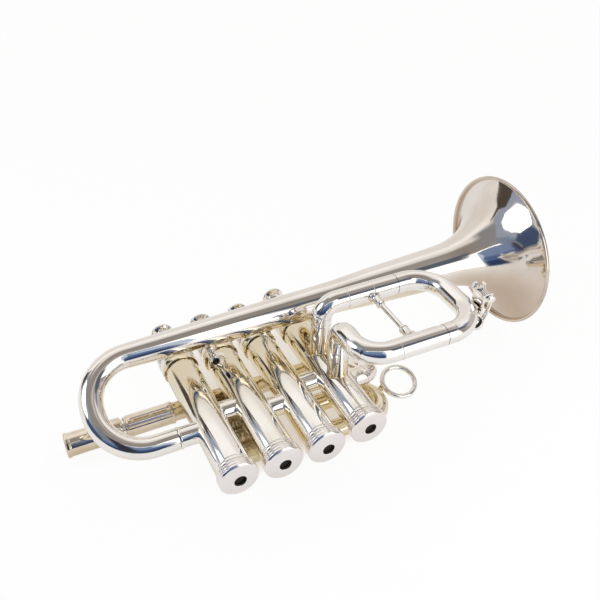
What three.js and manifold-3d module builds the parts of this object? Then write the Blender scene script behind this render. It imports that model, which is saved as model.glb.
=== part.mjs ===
// A four-valve piccolo trumpet, silver plated, lying on its left side.
// Millimetres. +X points to the bell, +Y to the finger buttons and +Z to the player's right, which is up.
// Inside this file, places are measured from the hole in valve 1's bottom cap.
// At the end the whole instrument is moved so that the origin lies under its middle, on the table.
import * as THREE from "three";
import { mergeVertices } from "three/addons/utils/BufferGeometryUtils.js";
import Module from "manifold-3d";

const wasm = await Module();
wasm.setup();

// Counts of sides and steps, kept low because the solids only carry the shape
const casingSides = 14;
const capSides = 14;
const tubeSides = 10;
const slimSides = 8;
const bellSides = 24;
const wireSides = 6;
const quarterSteps = 3;
const wideSteps = 4;

// Clearances
const seatGap = 0.3;
const slideGap = 0.3;
const cutOverrun = 6;

// Valves
const valveGap = 3.1;
const valveFourRise = 4;
const casingRadius = 9.4;
const casingWall = 0.8;
const casingTop = 90.8;
const pistonHeadroom = 6.8;
const pistonLength = 54;
const springWell = 18;
const stroke = 14.5;
const stemRadius = 2.5;
const portRadius = 5;
const portTubeWall = 0.7;

// Bottom caps
const capLip = 1.05;
const capHeight = 7.1;
const capDome = 1.6;
const capHoleRadius = 3.25;
const capFaceWall = 1.4;
const capGroove = 0.5;
const capNeck = 4;

// Top caps, felts and finger buttons
const topCapLip = 1;
const topCapCollarLip = 0.4;
const topCapCollarHeight = 3.4;
const topCapHeight = 9;
const topCapWall = 1.6;
const feltRadius = 5.4;
const feltHeight = 1.6;
const buttonRadius = 6.8;
const buttonHeight = 5.6;
const buttonCrown = 3.5;
const buttonRest = 4.2;
const buttonWaist = 4.4;

// Springs under the pistons
const springWire = 0.45;
const springRadius = 4.6;
const springCurls = 5;
const springWireSides = 5;
const springCurlSteps = 8;

// Bell
const bellDrop = 7.6;
const bellClear = 12;
const bellTailEnd = -30.2;
const bellMouth = 210.4;
const bellWall = 0.8;
const rimRadius = 46.2;
const rimWire = 0.9;
const tailRadius = 6.6;

// Bell crook and the port into valve 1
const crookPortHeight = 39.2;
const crookFlat = 1;
const crookRadius = 6.3;
const crookWall = 0.7;
const portTubeLength = 9.2;
const ferruleLength = 3.2;
const ferruleStep = 0.6;

// Tubes of the large loop
const legRadius = 5.7;
const tubeWall = 0.5;
const bowOverlap = 3;
const slideEngagement = 14;
const ferruleRise = 0.5;

// Tubes of the three small slides on the left side
const smallRadius = 5.4;
const smallClear = 1.6;
const smallBend = 6;

// Knuckles between the casings
const knuckle12 = 47.7;
const knuckle23 = 39.5;
const knuckle34 = 47;

// Slide 1, forward under valve 2
const slide1Upper = 62.3;
const slide1Lower = 51.3;
const slide1LegReach = 16;
const slide1Engagement = 9;

// Slide 2, back under valve 1
const slide2Upper = 40;
const slide2Lower = 28;
const slide2LegReach = 11;
const slide2Engagement = 4.4;

// Slide 3, under valve 4 on the left side, and its finger ring
const slide3Upper = 47;
const slide3Lower = 25;
const slide3LegReach = 30;
const slide3BowReach = 19.5;
const slide3BowFlat = 0.5;
const ringRadius = 9.6;
const ringWire = 1.2;
const ringTilt = 18.5;
const ringNeck = 5.9;
const ringOffset = 2;
const ringFootWidth = 4;
const ringFootHeight = 2.4;

// Slide 4, the large loop on the right side
const slide4Side = 43.7;
const slide4Upper = 58.2;
const slide4Lower = 9.6;
const slide4PortLow = 37.6;
const slide4LegBend = 8.5;
const slide4CurlBend = 14;
const slide4LegReach = 45;
const slide4BowReach = 23;
const slide4BowBend = 18;
const braceReach = 29;
const braceFoot = 3.4;
const braceRing = 2.3;
const braceWaist = 1.3;
const braceFootHeight = 2.2;
const braceNeck = 7;

// Water key on the front bow of slide 4
const keyOffset = 11.4;
const keyClear = 0.8;
const keyRise = 7.6;
const keyPinRadius = 1.1;
const keyBallRadius = 2.3;
const keyBarrelRadius = 2.2;
const keyBarrelLength = 4;
const keyEar = 1.2;
const keyEarReach = 2.4;
const keyPlateHeight = 13;
const keyPlate = 1.4;
const keyPlateDrop = 4.5;
const keyArmWidth = 3;
const keyArmThick = 1.3;
const nippleAngle = -51;
const nippleRadius = 2.8;
const nippleBore = 1.4;
const nippleReach = 11.4;
const corkRadius = 3.1;
const corkHeight = 1.9;
const cupRadius = 3.9;
const cupHeight = 2.2;
const keyArmBulge = 5.4;
const keyThumbReach = 8;
const keySpringWire = 0.25;
const keySpringCurls = 2;
const keySpringPitch = 1;

// Leadpipe on the left side
const leadDrop = 17.3;
const leadClear = 0.5;
const receiverEnd = -70.6;
const receiverLength = 30.6;
const receiverStep = 1.1;
const receiverLip = 0.4;
const receiverBore = 5;
const receiverThroat = 4.3;
const receiverSocket = 22;
const leadEngagement = 45;
const sleeveGap = 1.4;
const sleeveLength = 27.6;
const leadRadius = 5.4;
const leadWall = 0.4;
const leadReach = 8;
const frontBowReach = 22.8;
const frontBowBend = 9.5;
const frontPortHeight = 37.5;
const rodRadius = 0.9;
const rodBall = 1.6;
const rodInset = 3;
const rodDrop = 2.5;

// Bell braces
const bellBraceBack = 8.4;
const bellBraceRadius = 1.8;
const bellBraceFoot = 3.2;
const bellBraceFootHeight = 1.2;
const bellBraceDrop = 3.2;
const braceFlareShare = 0.2;

const xAxis = new THREE.Vector3(1, 0, 0);
const yAxis = new THREE.Vector3(0, 1, 0);
const zAxis = new THREE.Vector3(0, 0, 1);
const at = (x, y, z) => new THREE.Vector3(x, y, z);
const point = (radius, height) => new THREE.Vector2(radius, height);
const instrument = new THREE.Group();

// Finishes
const silver = { color: 0xd9d6cd, roughness: 0.14, metalness: 1 };
const brightSilver = { color: 0xe3e1da, roughness: 0.1, metalness: 1 };
const plainSteel = { color: 0xa9aaa8, roughness: 0.3, metalness: 1 };
const monel = { color: 0xb9b4a8, roughness: 0.22, metalness: 1 };
const feltFinish = { color: 0xe8e2d2, roughness: 0.95, metalness: 0 };
const corkFinish = { color: 0x2b2119, roughness: 0.9, metalness: 0 };

/** A geometry with merged corners, no empty faces, and its faces pointing out. */
function closed(geometry) {
  const bare = geometry.clone();
  for (const name of Object.keys(bare.attributes)) {
    if (name !== "position") bare.deleteAttribute(name);
  }
  bare.clearGroups();
  const merged = mergeVertices(bare);
  const ids = merged.index.array;
  const corner = merged.attributes.position;
  const kept = [];
  const [a, b, c] = [at(0, 0, 0), at(0, 0, 0), at(0, 0, 0)];
  let volume = 0;
  for (let i = 0; i < ids.length; i += 3) {
    const [p, q, r] = [ids[i], ids[i + 1], ids[i + 2]];
    if (p === q || q === r || r === p) continue;
    kept.push(p, q, r);
    a.fromBufferAttribute(corner, p);
    b.fromBufferAttribute(corner, q);
    c.fromBufferAttribute(corner, r);
    volume += a.dot(b.cross(c));
  }
  merged.setIndex(volume < 0 ? kept.reverse() : kept);
  return merged;
}

/** The solid of a closed geometry, for cutting and joining. */
function solid(geometry) {
  const shape = closed(geometry);
  return new wasm.Manifold(new wasm.Mesh({
    numProp: 3,
    vertProperties: new Float32Array(shape.attributes.position.array),
    triVerts: new Uint32Array(shape.index.array),
  }));
}

/** The geometry of a solid. */
function skin(body) {
  const mesh = body.getMesh();
  const geometry = new THREE.BufferGeometry();
  geometry.setAttribute("position", new THREE.BufferAttribute(new Float32Array(mesh.vertProperties), 3));
  geometry.setIndex(new THREE.BufferAttribute(new Uint32Array(mesh.triVerts), 1));
  return geometry;
}

/** Adds a named piece to the instrument. Shapes are geometries or solids, already in place. */
function piece(name, finish, ...shapes) {
  const parts = shapes.map((shape) => (shape.isBufferGeometry ? closed(shape) : closed(skin(shape))));
  const corners = parts.flatMap((part) => Array.from(part.attributes.position.array));
  const ids = [];
  let first = 0;
  for (const part of parts) {
    for (const id of part.index.array) ids.push(first + id);
    first += part.attributes.position.count;
  }
  const geometry = new THREE.BufferGeometry();
  geometry.setAttribute("position", new THREE.BufferAttribute(new Float32Array(corners), 3));
  geometry.setIndex(ids);
  geometry.computeVertexNormals();
  const mesh = new THREE.Mesh(geometry, new THREE.MeshStandardMaterial(finish));
  mesh.name = name;
  instrument.add(mesh);
  return mesh;
}

/** Straight runs joined by round bends, with stations only where a bend needs them. */
class Route extends THREE.Curve {
  constructor(corners, bend, quarter = quarterSteps) {
    super();
    this.stations = [];
    const last = corners.length - 1;
    const run = (i) => corners[i + 1].clone().sub(corners[i]).normalize();
    this.add(corners[0], run(0));
    for (let i = 1; i < last; i += 1) {
      const into = run(i - 1);
      const out = run(i);
      const turn = into.angleTo(out);
      const inward = out.clone().addScaledVector(into, -Math.cos(turn)).normalize();
      const start = corners[i].clone().addScaledVector(into, -bend * Math.tan(turn / 2));
      const steps = Math.max(1, Math.round((quarter * turn) / (Math.PI / 2)));
      for (let k = 0; k <= steps; k += 1) {
        const angle = (turn * k) / steps;
        const spot = start.clone();
        spot.addScaledVector(into, bend * Math.sin(angle));
        spot.addScaledVector(inward, bend * (1 - Math.cos(angle)));
        const way = into.clone().multiplyScalar(Math.cos(angle));
        way.addScaledVector(inward, Math.sin(angle));
        this.add(spot, way);
      }
    }
    this.add(corners[last], run(last - 1));
  }

  add(spot, way) {
    const before = this.stations.at(-1);
    if (before && before.spot.distanceTo(spot) < seatGap) return;
    this.stations.push({ spot: spot.clone(), way: way.clone().normalize() });
  }

  station(share) {
    return this.stations[Math.round(share * (this.stations.length - 1))];
  }

  getPointAt(share, target = new THREE.Vector3()) {
    return target.copy(this.station(share).spot);
  }

  getTangentAt(share, target = new THREE.Vector3()) {
    return target.copy(this.station(share).way);
  }
}

const ring = (radius, sides) => Array.from({ length: sides }, (_, i) => {
  const angle = (2 * Math.PI * i) / sides;
  return point(radius * Math.cos(angle), radius * Math.sin(angle));
});

/** A round tube along corners joined by bends. Without a bore it is a rod. */
function tube(corners, bend, outer, bore = 0, sides = tubeSides, quarter = quarterSteps) {
  const route = new Route(corners, bend, quarter);
  const section = new THREE.Shape(ring(outer, sides));
  if (bore > 0) section.holes.push(new THREE.Path(ring(bore, sides).reverse()));
  const steps = route.stations.length - 1;
  return new THREE.ExtrudeGeometry(section, { steps, extrudePath: route });
}

/** A turned shape. The profile's heights run along the axis, from the base. */
function turned(profile, base, axis, sides) {
  const geometry = new THREE.LatheGeometry(profile, sides);
  geometry.applyQuaternion(new THREE.Quaternion().setFromUnitVectors(yAxis, axis));
  return geometry.translate(base.x, base.y, base.z);
}

/** A block around a middle, turned about the Y axis. */
function block(middle, size, turn = 0) {
  const geometry = new THREE.BoxGeometry(size.x, size.y, size.z);
  geometry.rotateY(turn);
  return geometry.translate(middle.x, middle.y, middle.z);
}

/** An unbroken coil of wire along an axis, from its first middle point. */
function coil(base, axis, radius, wire, curls, length) {
  const turnSteps = springCurlSteps;
  const steps = curls * turnSteps;
  const sideways = Math.abs(axis.y) > Math.abs(axis.x) ? xAxis.clone() : yAxis.clone();
  const across = axis.clone().cross(sideways);
  const middle = (i) => {
    const angle = (2 * Math.PI * i) / turnSteps;
    const spot = base.clone().addScaledVector(axis, (length * i) / steps);
    spot.addScaledVector(sideways, radius * Math.cos(angle));
    return spot.addScaledVector(across, radius * Math.sin(angle));
  };
  const corners = [];
  const ids = [];
  for (let i = 0; i <= steps; i += 1) {
    const angle = (2 * Math.PI * i) / turnSteps;
    const outward = sideways.clone().multiplyScalar(Math.cos(angle));
    outward.addScaledVector(across, Math.sin(angle));
    for (let k = 0; k < springWireSides; k += 1) {
      const round = (2 * Math.PI * k) / springWireSides;
      const spot = middle(i).addScaledVector(outward, wire * Math.cos(round));
      spot.addScaledVector(axis, wire * Math.sin(round));
      corners.push(spot.x, spot.y, spot.z);
    }
  }
  const id = (i, k) => i * springWireSides + (k % springWireSides);
  for (let i = 0; i < steps; i += 1) {
    for (let k = 0; k < springWireSides; k += 1) {
      ids.push(id(i, k), id(i + 1, k), id(i + 1, k + 1));
      ids.push(id(i, k), id(i + 1, k + 1), id(i, k + 1));
    }
  }
  for (let k = 1; k < springWireSides - 1; k += 1) {
    ids.push(id(0, 0), id(0, k), id(0, k + 1));
    ids.push(id(steps, 0), id(steps, k + 1), id(steps, k));
  }
  const geometry = new THREE.BufferGeometry();
  geometry.setAttribute("position", new THREE.BufferAttribute(new Float32Array(corners), 3));
  geometry.setIndex(ids);
  geometry.userData.selfGap = length / curls - 2 * wire;
  return geometry;
}

// Valves: their axes run along +Y
const capRadius = casingRadius + capLip;
const topCapRadius = casingRadius + topCapLip;
const topCapCollar = casingRadius + topCapCollarLip;
const pistonTop = casingTop - pistonHeadroom;
const pistonBottom = pistonTop - pistonLength;
const portTubeRadius = portRadius + portTubeWall;
const valveSpacing = 2 * capRadius + valveGap;
const valveShares = [0, 1, 2, 3];
const valves = valveShares.map((share) => at(share * valveSpacing, 0, 0));
const [valve1, valve2, valve3, valve4] = valves;
valve4.z = valveFourRise;
const knuckleHeights = [knuckle12, knuckle23, knuckle34];
const buttonLow = casingTop + topCapHeight + seatGap + feltHeight + stroke + buttonRest;
const buttonTop = buttonLow + buttonHeight;
const buttonRim = buttonTop - buttonCrown;
const casingBore = casingRadius - casingWall;
const pistonRadius = casingBore - slideGap;

// Places and bores that follow from the valves and from each tube's wall
const bellHeight = casingTop - bellDrop;
const bellSide = casingRadius + valveFourRise + bellClear;
const legBore = legRadius - tubeWall;
const innerRadius = legBore - slideGap;
const innerBore = innerRadius - tubeWall;
const smallBore = smallRadius - tubeWall;
const smallInner = smallBore - slideGap;
const smallInnerBore = smallInner - tubeWall;
const smallDepth = casingRadius + smallRadius + smallClear;
const crookBend = Math.hypot(bellHeight - crookPortHeight, bellSide) / 2 - crookFlat;
const crookBack = bellTailEnd - crookBend;
const crookEnd = -casingRadius - portTubeLength;
const slide3LegEnd = valve3.x + slide3LegReach;
const slide3BowFront = slide3LegEnd + slide3BowReach;
const slide3BowBend = (slide3Upper - slide3Lower) / 2 - slide3BowFlat;
const slide4LegEnd = valve4.x + slide4LegReach;
const slide4BowFront = slide4LegEnd + slide4BowReach;
const leadBore = leadRadius - leadWall;
const leadInnerRadius = leadBore - slideGap;
const leadInnerBore = leadInnerRadius - tubeWall;
const leadHeight = casingTop - leadDrop;
const leadSide = -casingRadius - leadRadius - leadClear;
const leadEnd = valve4.x + leadReach;
const frontBowFront = valve4.x + frontBowReach;
const receiverRadius = leadRadius + receiverStep;
const receiverInnerEnd = receiverEnd + receiverLength;
const sleeveRadius = receiverRadius;
const sleeveStart = receiverInnerEnd + sleeveGap;
const sleeveEnd = sleeveStart + sleeveLength;
const leadInnerEnd = sleeveEnd + leadEngagement;

/** A cylinder round a valve's axis, for trimming what meets the casing. */
function casingCutter(valve, radius = casingRadius + seatGap) {
  const geometry = new THREE.CylinderGeometry(radius, radius, casingTop * 2, casingSides);
  return solid(geometry.translate(valve.x, valve.y, valve.z));
}

/** A straight bore from a point along a direction, for cutting ports. */
function bore(from, way, length, radius = portRadius) {
  const geometry = new THREE.CylinderGeometry(radius, radius, length, tubeSides);
  geometry.translate(0, length / 2, 0);
  geometry.applyQuaternion(new THREE.Quaternion().setFromUnitVectors(yAxis, way.clone().normalize()));
  return solid(geometry.translate(from.x, from.y, from.z));
}

const back = at(-1, 0, 0);
const front = at(1, 0, 0);
const left = at(0, 0, -1);
const right = at(0, 0, 1);
const ports = [
  [[back, crookPortHeight], [left, slide1Upper], [left, slide1Lower], [front, knuckle12]],
  [[back, knuckle12], [left, slide2Upper], [left, slide2Lower], [front, knuckle23]],
  [[back, knuckle23], [left, slide3Upper], [left, slide3Lower], [front, knuckle34]],
  [[back, knuckle34], [right, slide4Upper], [right, slide4PortLow], [front, frontPortHeight]],
];

function casing(i) {
  const valve = valves[i];
  const foot = capHeight + seatGap;
  const profile = [
    point(casingBore, foot), point(casingRadius, foot), point(casingRadius, casingTop),
    point(casingBore, casingTop), point(casingBore, foot),
  ];
  let body = solid(turned(profile, valve, yAxis, casingSides));
  for (const [way, height] of ports[i]) {
    body = body.subtract(bore(at(valve.x, height, valve.z), way, casingRadius + cutOverrun));
  }
  piece(`valve_casing_${i + 1}`, silver, body);
}

function bottomCap(i) {
  const neckRadius = casingBore - seatGap;
  const mid = (capDome + capHeight) / 2;
  const profile = [
    point(capHoleRadius, 0), point(capRadius * 0.72, capDome * 0.35), point(capRadius, capDome),
    point(capRadius, mid - capGroove), point(capRadius - capGroove, mid), point(capRadius, mid + capGroove),
    point(capRadius, capHeight), point(neckRadius, capHeight), point(neckRadius, capHeight + capNeck),
    point(neckRadius - casingWall, capHeight + capNeck),
    point(neckRadius - casingWall, capFaceWall + capDome),
    point(capHoleRadius, capFaceWall), point(capHoleRadius, 0),
  ];
  piece(`bottom_cap_${i + 1}`, silver, turned(profile, valves[i], yAxis, capSides));
}

function topCap(i) {
  const low = casingTop + seatGap;
  const high = casingTop + topCapHeight;
  const neck = casingBore - seatGap;
  const hole = stemRadius + slideGap;
  const profile = [
    point(neck - casingWall, low - capNeck), point(neck, low - capNeck), point(neck, low),
    point(topCapCollar, low), point(topCapCollar, low + topCapCollarHeight),
    point(topCapRadius, low + topCapCollarHeight + capGroove), point(topCapRadius, high - topCapWall),
    point(feltRadius, high), point(hole, high), point(hole, high - topCapWall),
    point(neck - casingWall, high - 2 * topCapWall), point(neck - casingWall, low - capNeck),
  ];
  piece(`top_cap_${i + 1}`, silver, turned(profile, valves[i], yAxis, capSides));
}

function piston(i) {
  const valve = valves[i];
  const well = pistonBottom + springWell;
  const wellRadius = springRadius + springWire + slideGap;
  const stemHigh = buttonLow - seatGap;
  const profile = [
    point(wellRadius, pistonBottom), point(pistonRadius, pistonBottom), point(pistonRadius, pistonTop),
    point(stemRadius, pistonTop), point(stemRadius, stemHigh), point(0, stemHigh),
    point(0, well), point(wellRadius, well), point(wellRadius, pistonBottom),
  ];
  let body = solid(turned(profile, valve, yAxis, casingSides));
  const heights = [well + portRadius + casingWall, pistonTop - portRadius - casingWall - slideGap];
  const ways = [front, at(1, 0, 1)];
  heights.forEach((height, k) => {
    const way = ways[k].clone().normalize();
    const from = at(valve.x, height, valve.z).addScaledVector(way, -casingRadius);
    body = body.subtract(bore(from, way, 2 * casingRadius, portRadius - casingWall));
  });
  piece(`piston_${i + 1}`, monel, body);
}

function button(i) {
  const profile = [
    point(0, buttonLow), point(buttonWaist, buttonLow), point(buttonWaist, buttonLow + capGroove),
    point(buttonRadius - capGroove, buttonRim - capGroove), point(buttonRadius, buttonRim),
    point(buttonRadius - 2 * capGroove, buttonTop - 2 * capGroove),
    point(buttonRadius / 2, buttonTop - capGroove / 2), point(0, buttonTop),
  ];
  piece(`finger_button_${i + 1}`, brightSilver, turned(profile, valves[i], yAxis, capSides));
}

function felt(i) {
  const low = casingTop + topCapHeight + seatGap;
  const hole = stemRadius + slideGap;
  piece(`button_felt_${i + 1}`, feltFinish, turned([
    point(hole, low), point(feltRadius, low), point(feltRadius, low + feltHeight),
    point(hole, low + feltHeight), point(hole, low),
  ], valves[i], yAxis, slimSides));
}

function valveSpring(i) {
  const low = capFaceWall + capDome + seatGap + springWire;
  const high = pistonBottom + springWell - seatGap - springWire;
  const base = at(valves[i].x, low, valves[i].z);
  const shape = coil(base, yAxis, springRadius, springWire, springCurls, high - low);
  piece(`valve_spring_${i + 1}`, plainSteel, shape);
  return shape.userData.selfGap;
}

const springGaps = [];
valves.forEach((_, i) => {
  casing(i);
  bottomCap(i);
  topCap(i);
  piston(i);
  button(i);
  felt(i);
  springGaps.push(valveSpring(i));
});

knuckleHeights.forEach((height, i) => {
  const [from, to] = [valves[i], valves[i + 1]];
  const side = (from.z + to.z) / 2;
  const ends = [at(from.x, height, side), at(to.x, height, side)];
  const shape = solid(tube(ends, legRadius, portTubeRadius, portRadius));
  const name = `knuckle_${i + 1}_${i + 2}`;
  piece(name, silver, shape.subtract(casingCutter(from)).subtract(casingCutter(to)));
});

// Bell: the flare's stations as shares of the tail's and the mouth's measures
const flareShares = [
  [0, 0], [0.25, 0.043], [0.5, 0.069], [0.625, 0.113], [0.75, 0.147], [0.81, 0.163], [0.853, 0.189],
  [0.882, 0.236], [0.907, 0.315], [0.928, 0.396], [0.948, 0.505], [0.969, 0.655], [0.985, 0.82], [1, 1],
];
const bellLip = rimRadius - rimWire - seatGap;
const bellBase = at(bellTailEnd, bellHeight, bellSide);
const bellLength = bellMouth - bellTailEnd;
const bellRadiusAt = (share) => tailRadius + (bellLip - tailRadius) * share;
const bellOuter = flareShares.map(([way, share]) => point(bellRadiusAt(share), bellLength * way));
const bellInner = flareShares.map(([way, share]) => {
  const lip = Math.min(1, (1 - way) * bellLength / bellWall);
  return point(bellRadiusAt(share) - bellWall * lip, bellLength * way + bellWall * (1 - lip));
});
const bellProfile = [...bellOuter, ...bellInner.reverse(), bellOuter[0]];
piece("bell", silver, turned(bellProfile, bellBase, xAxis, bellSides));

/** A closed hoop of round wire about an axis. */
function hoop(radius, wire, base, axis, sides) {
  const section = ring(wire, wireSides);
  const profile = [...section, section[0]].map((p) => point(radius + p.x, p.y));
  return turned(profile, base, axis, sides);
}

const rimPlace = at(bellMouth, bellHeight, bellSide);
piece("bell_rim_wire", brightSilver, hoop(rimRadius, rimWire, rimPlace, xAxis, bellSides));

// Crook from the bell's tail round to valve 1
piece("bell_crook", silver, tube([
  at(bellTailEnd - seatGap, bellHeight, bellSide), at(crookBack, bellHeight, bellSide),
  at(crookBack, crookPortHeight, 0), at(crookEnd, crookPortHeight, 0),
], crookBend, crookRadius, crookRadius - crookWall, tubeSides, wideSteps));

const portStart = crookEnd + seatGap;
const portTube = solid(tube([
  at(portStart, crookPortHeight, 0), at(0, crookPortHeight, 0),
], legRadius, portTubeRadius, portRadius));
const portFerrule = solid(turned([
  point(portRadius, 0), point(crookRadius + ferruleStep / 2, 0),
  point(crookRadius + ferruleStep, ferruleLength / 2),
  point(crookRadius, ferruleLength), point(portRadius, ferruleLength), point(portRadius, 0),
], at(portStart, crookPortHeight, 0), xAxis, tubeSides));
piece("bell_port", silver, portTube.add(portFerrule).subtract(casingCutter(valve1)));

/** The moving part of a slide: a bow, two inner tubes and the ferrules that join them. */
function bow(corners, bend, engagement, outer, hole, inner, innerHole, sides = tubeSides) {
  let body = solid(tube(corners, bend, outer, hole, sides));
  const ends = [[corners[0], corners[1]], [corners.at(-1), corners.at(-2)]];
  for (const [end, next] of ends) {
    const way = next.clone().sub(end).normalize();
    const from = end.clone().addScaledVector(way, -engagement);
    const to = end.clone().addScaledVector(way, bowOverlap);
    body = body.add(solid(tube([from, to], outer, inner, innerHole, sides)));
    body = body.add(solid(tube([end, to], outer, outer + ferruleRise, innerHole, sides)));
  }
  return body;
}

const smallBow = (corners, bend, engagement) => {
  return bow(corners, bend, engagement, smallRadius, smallBore, smallInner, smallInnerBore, slimSides);
};

/** A small slide: two legs leave a valve to the left and turn along the instrument. */
function smallSlide(number, valve, heights, legEnd, bowEnd, bend, engagement) {
  const way = Math.sign(legEnd - valve.x);
  heights.forEach((height, i) => {
    const leg = solid(tube([
      at(valve.x, height, 0), at(valve.x, height, -smallDepth), at(legEnd, height, -smallDepth),
    ], smallBend, smallRadius, smallBore, slimSides));
    const name = `slide_${number}_${["upper", "lower"][i]}_leg`;
    piece(name, silver, leg.subtract(casingCutter(valve)));
  });
  const start = legEnd + way * seatGap;
  const far = bowEnd ?? start + way * (bowOverlap + bend);
  const [upper, lower] = heights;
  piece(`slide_${number}_bow`, silver, smallBow([
    at(start, upper, -smallDepth), at(far, upper, -smallDepth),
    at(far, lower, -smallDepth), at(start, lower, -smallDepth),
  ], bend, engagement));
}

const bend1 = (slide1Upper - slide1Lower) / 2;
const bend2 = (slide2Upper - slide2Lower) / 2;
const slide1LegEnd = valve1.x + slide1LegReach;
const slide2LegEnd = valve2.x - slide2LegReach;
smallSlide(1, valve1, [slide1Upper, slide1Lower], slide1LegEnd, undefined, bend1, slide1Engagement);
smallSlide(2, valve2, [slide2Upper, slide2Lower], slide2LegEnd, undefined, bend2, slide2Engagement);
smallSlide(
  3, valve3, [slide3Upper, slide3Lower], slide3LegEnd, slide3BowFront, slide3BowBend, slideEngagement,
);

const ringX = slide3BowFront + ringRadius + ringNeck;
const ringY = (slide3Upper + slide3Lower) / 2 + ringOffset;
const ringZ = -smallDepth + smallRadius;
const ringPlace = at(ringX, ringY, ringZ);
const ringHoop = hoop(ringRadius, ringWire, at(0, 0, 0), zAxis, capSides)
  .rotateX(THREE.MathUtils.degToRad(ringTilt)).translate(ringPlace.x, ringPlace.y, ringPlace.z);
const ringFootTop = ringPlace.clone().add(at(-ringRadius, 0, 0));
const ringFootEnd = at(slide3BowFront, ringY, -smallDepth);
const ringFootWay = ringFootTop.clone().sub(ringFootEnd);
const ringFoot = block(
  ringFootTop.clone().lerp(ringFootEnd, 0.5),
  at(ringFootWay.length(), ringFootWidth, ringFootHeight), -Math.atan2(ringFootWay.z, ringFootWay.x),
);
const slide3Front = tube([
  at(slide3BowFront, slide3Upper, -smallDepth), at(slide3BowFront, slide3Lower, -smallDepth),
], smallRadius, smallRadius + seatGap, 0, slimSides);
piece("finger_ring", brightSilver, solid(ringHoop).add(solid(ringFoot)).subtract(solid(slide3Front)));

// Slide 4: two legs rise from valve 4 and turn forward into the loop
const slide4X = valve4.x;
const upperLeg = [
  at(slide4X, slide4Upper, valve4.z), at(slide4X, slide4Upper, slide4Side),
  at(slide4LegEnd, slide4Upper, slide4Side),
];
const lowerLegLow = new Route([
  at(slide4X, slide4PortLow, valve4.z), at(slide4X, slide4PortLow, slide4Side),
  at(slide4X, slide4PortLow - slide4LegBend * 2, slide4Side),
], slide4LegBend);
const lowerCurl = new Route([
  at(slide4X, slide4PortLow - slide4LegBend, slide4Side), at(slide4X, slide4Lower, slide4Side),
  at(slide4LegEnd, slide4Lower, slide4Side),
], slide4CurlBend);

/** One tube along two routes that follow on from each other. */
function joinedTube(first, second, outer, hole) {
  const route = new Route([at(0, 0, 0), xAxis], 0);
  route.stations = [...first.stations.slice(0, -1), ...second.stations.slice(1)];
  const section = new THREE.Shape(ring(outer, tubeSides));
  section.holes.push(new THREE.Path(ring(hole, tubeSides).reverse()));
  return new THREE.ExtrudeGeometry(section, { steps: route.stations.length - 1, extrudePath: route });
}

const valve4Cutter = casingCutter(valve4);
const upperLegTube = tube(upperLeg, slide4LegBend, legRadius, legBore);
piece("slide_4_upper_leg", silver, solid(upperLegTube).subtract(valve4Cutter));
const lowerLegTube = joinedTube(lowerLegLow, lowerCurl, legRadius, legBore);
piece("slide_4_lower_leg", silver, solid(lowerLegTube).subtract(valve4Cutter));

// The front bow carries the nipple of the water key
const keyStation = slide4Lower + keyOffset;
const keyReach = legRadius + seatGap + keyPlate + keyBarrelRadius + keyClear;
const keyNormal = at(1, 0, 0).applyAxisAngle(yAxis, THREE.MathUtils.degToRad(-nippleAngle));
const bendReach = Math.max(0, slide4Lower + slide4BowBend - keyStation);
const bendRetreat = slide4BowBend - Math.sqrt(slide4BowBend ** 2 - bendReach ** 2);
const bowMiddle = at(slide4BowFront - bendRetreat, keyStation, slide4Side);
const frontBow = bow([
  at(slide4LegEnd + seatGap, slide4Upper, slide4Side), at(slide4BowFront, slide4Upper, slide4Side),
  at(slide4BowFront, slide4Lower, slide4Side), at(slide4LegEnd + seatGap, slide4Lower, slide4Side),
], slide4BowBend, slideEngagement, legRadius, legBore, innerRadius, innerBore);
const nippleFoot = bowMiddle.clone().addScaledVector(keyNormal, legBore);
const nipple = bore(nippleFoot, keyNormal, nippleReach - legBore, nippleRadius);
const nippleHole = bore(bowMiddle, keyNormal, nippleReach + cutOverrun, nippleBore);
piece("slide_4_bow", silver, frontBow.add(nipple).subtract(nippleHole));

// The turned brace between the legs of slide 4
const braceLow = slide4Lower + legRadius + seatGap;
const braceHigh = slide4Upper - legRadius - seatGap;
const braceStep = braceFootHeight / 2;
const braceProfile = [
  point(0, braceLow), point(braceFoot, braceLow), point(braceFoot, braceLow + braceStep),
  point(braceRing, braceLow + braceFootHeight), point(braceRing, braceLow + braceNeck),
  point(braceWaist, braceLow + braceNeck + braceStep),
  point(braceWaist, braceHigh - braceNeck - braceStep), point(braceRing, braceHigh - braceNeck),
  point(braceRing, braceHigh - braceFootHeight), point(braceFoot, braceHigh - braceStep),
  point(braceFoot, braceHigh), point(0, braceHigh),
];
const bracePlace = at(valve4.x + braceReach, 0, slide4Side);
piece("slide_4_brace", brightSilver, turned(braceProfile, bracePlace, yAxis, tubeSides));

// Water key: a saddle on the bow, a pin with ball ends, a lever with cork and a coil spring
const keyPivot = at(slide4BowFront + keyReach, keyStation, slide4Side + keyRise);
const keySpringLength = keySpringCurls * keySpringPitch + 2 * keySpringWire;
const earLow = -keyBarrelLength / 2 - seatGap - keyEar;
const earHigh = keyBarrelLength / 2 + 2 * seatGap + keySpringLength;
const saddleFront = slide4BowFront + legRadius + seatGap;
const saddleMiddle = keyStation + (earLow + earHigh + keyEar) / 2;
const saddleWidth = earHigh + keyEar - earLow;
const saddlePlate = block(
  at(saddleFront + keyPlate / 2, saddleMiddle, keyPivot.z - keyPlateDrop),
  at(keyPlate, saddleWidth, keyPlateHeight),
);
const earReach = keyPivot.x + keyEarReach - saddleFront;
const ears = [earLow, earHigh].map((low) => block(
  at(saddleFront + earReach / 2, keyStation + low + keyEar / 2, keyPivot.z),
  at(earReach, keyEar, keyEarReach * 2),
));
const pinHole = bore(
  at(keyPivot.x, saddleMiddle - saddleWidth, keyPivot.z), yAxis, saddleWidth * 2, keyPinRadius + seatGap,
);
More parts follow.
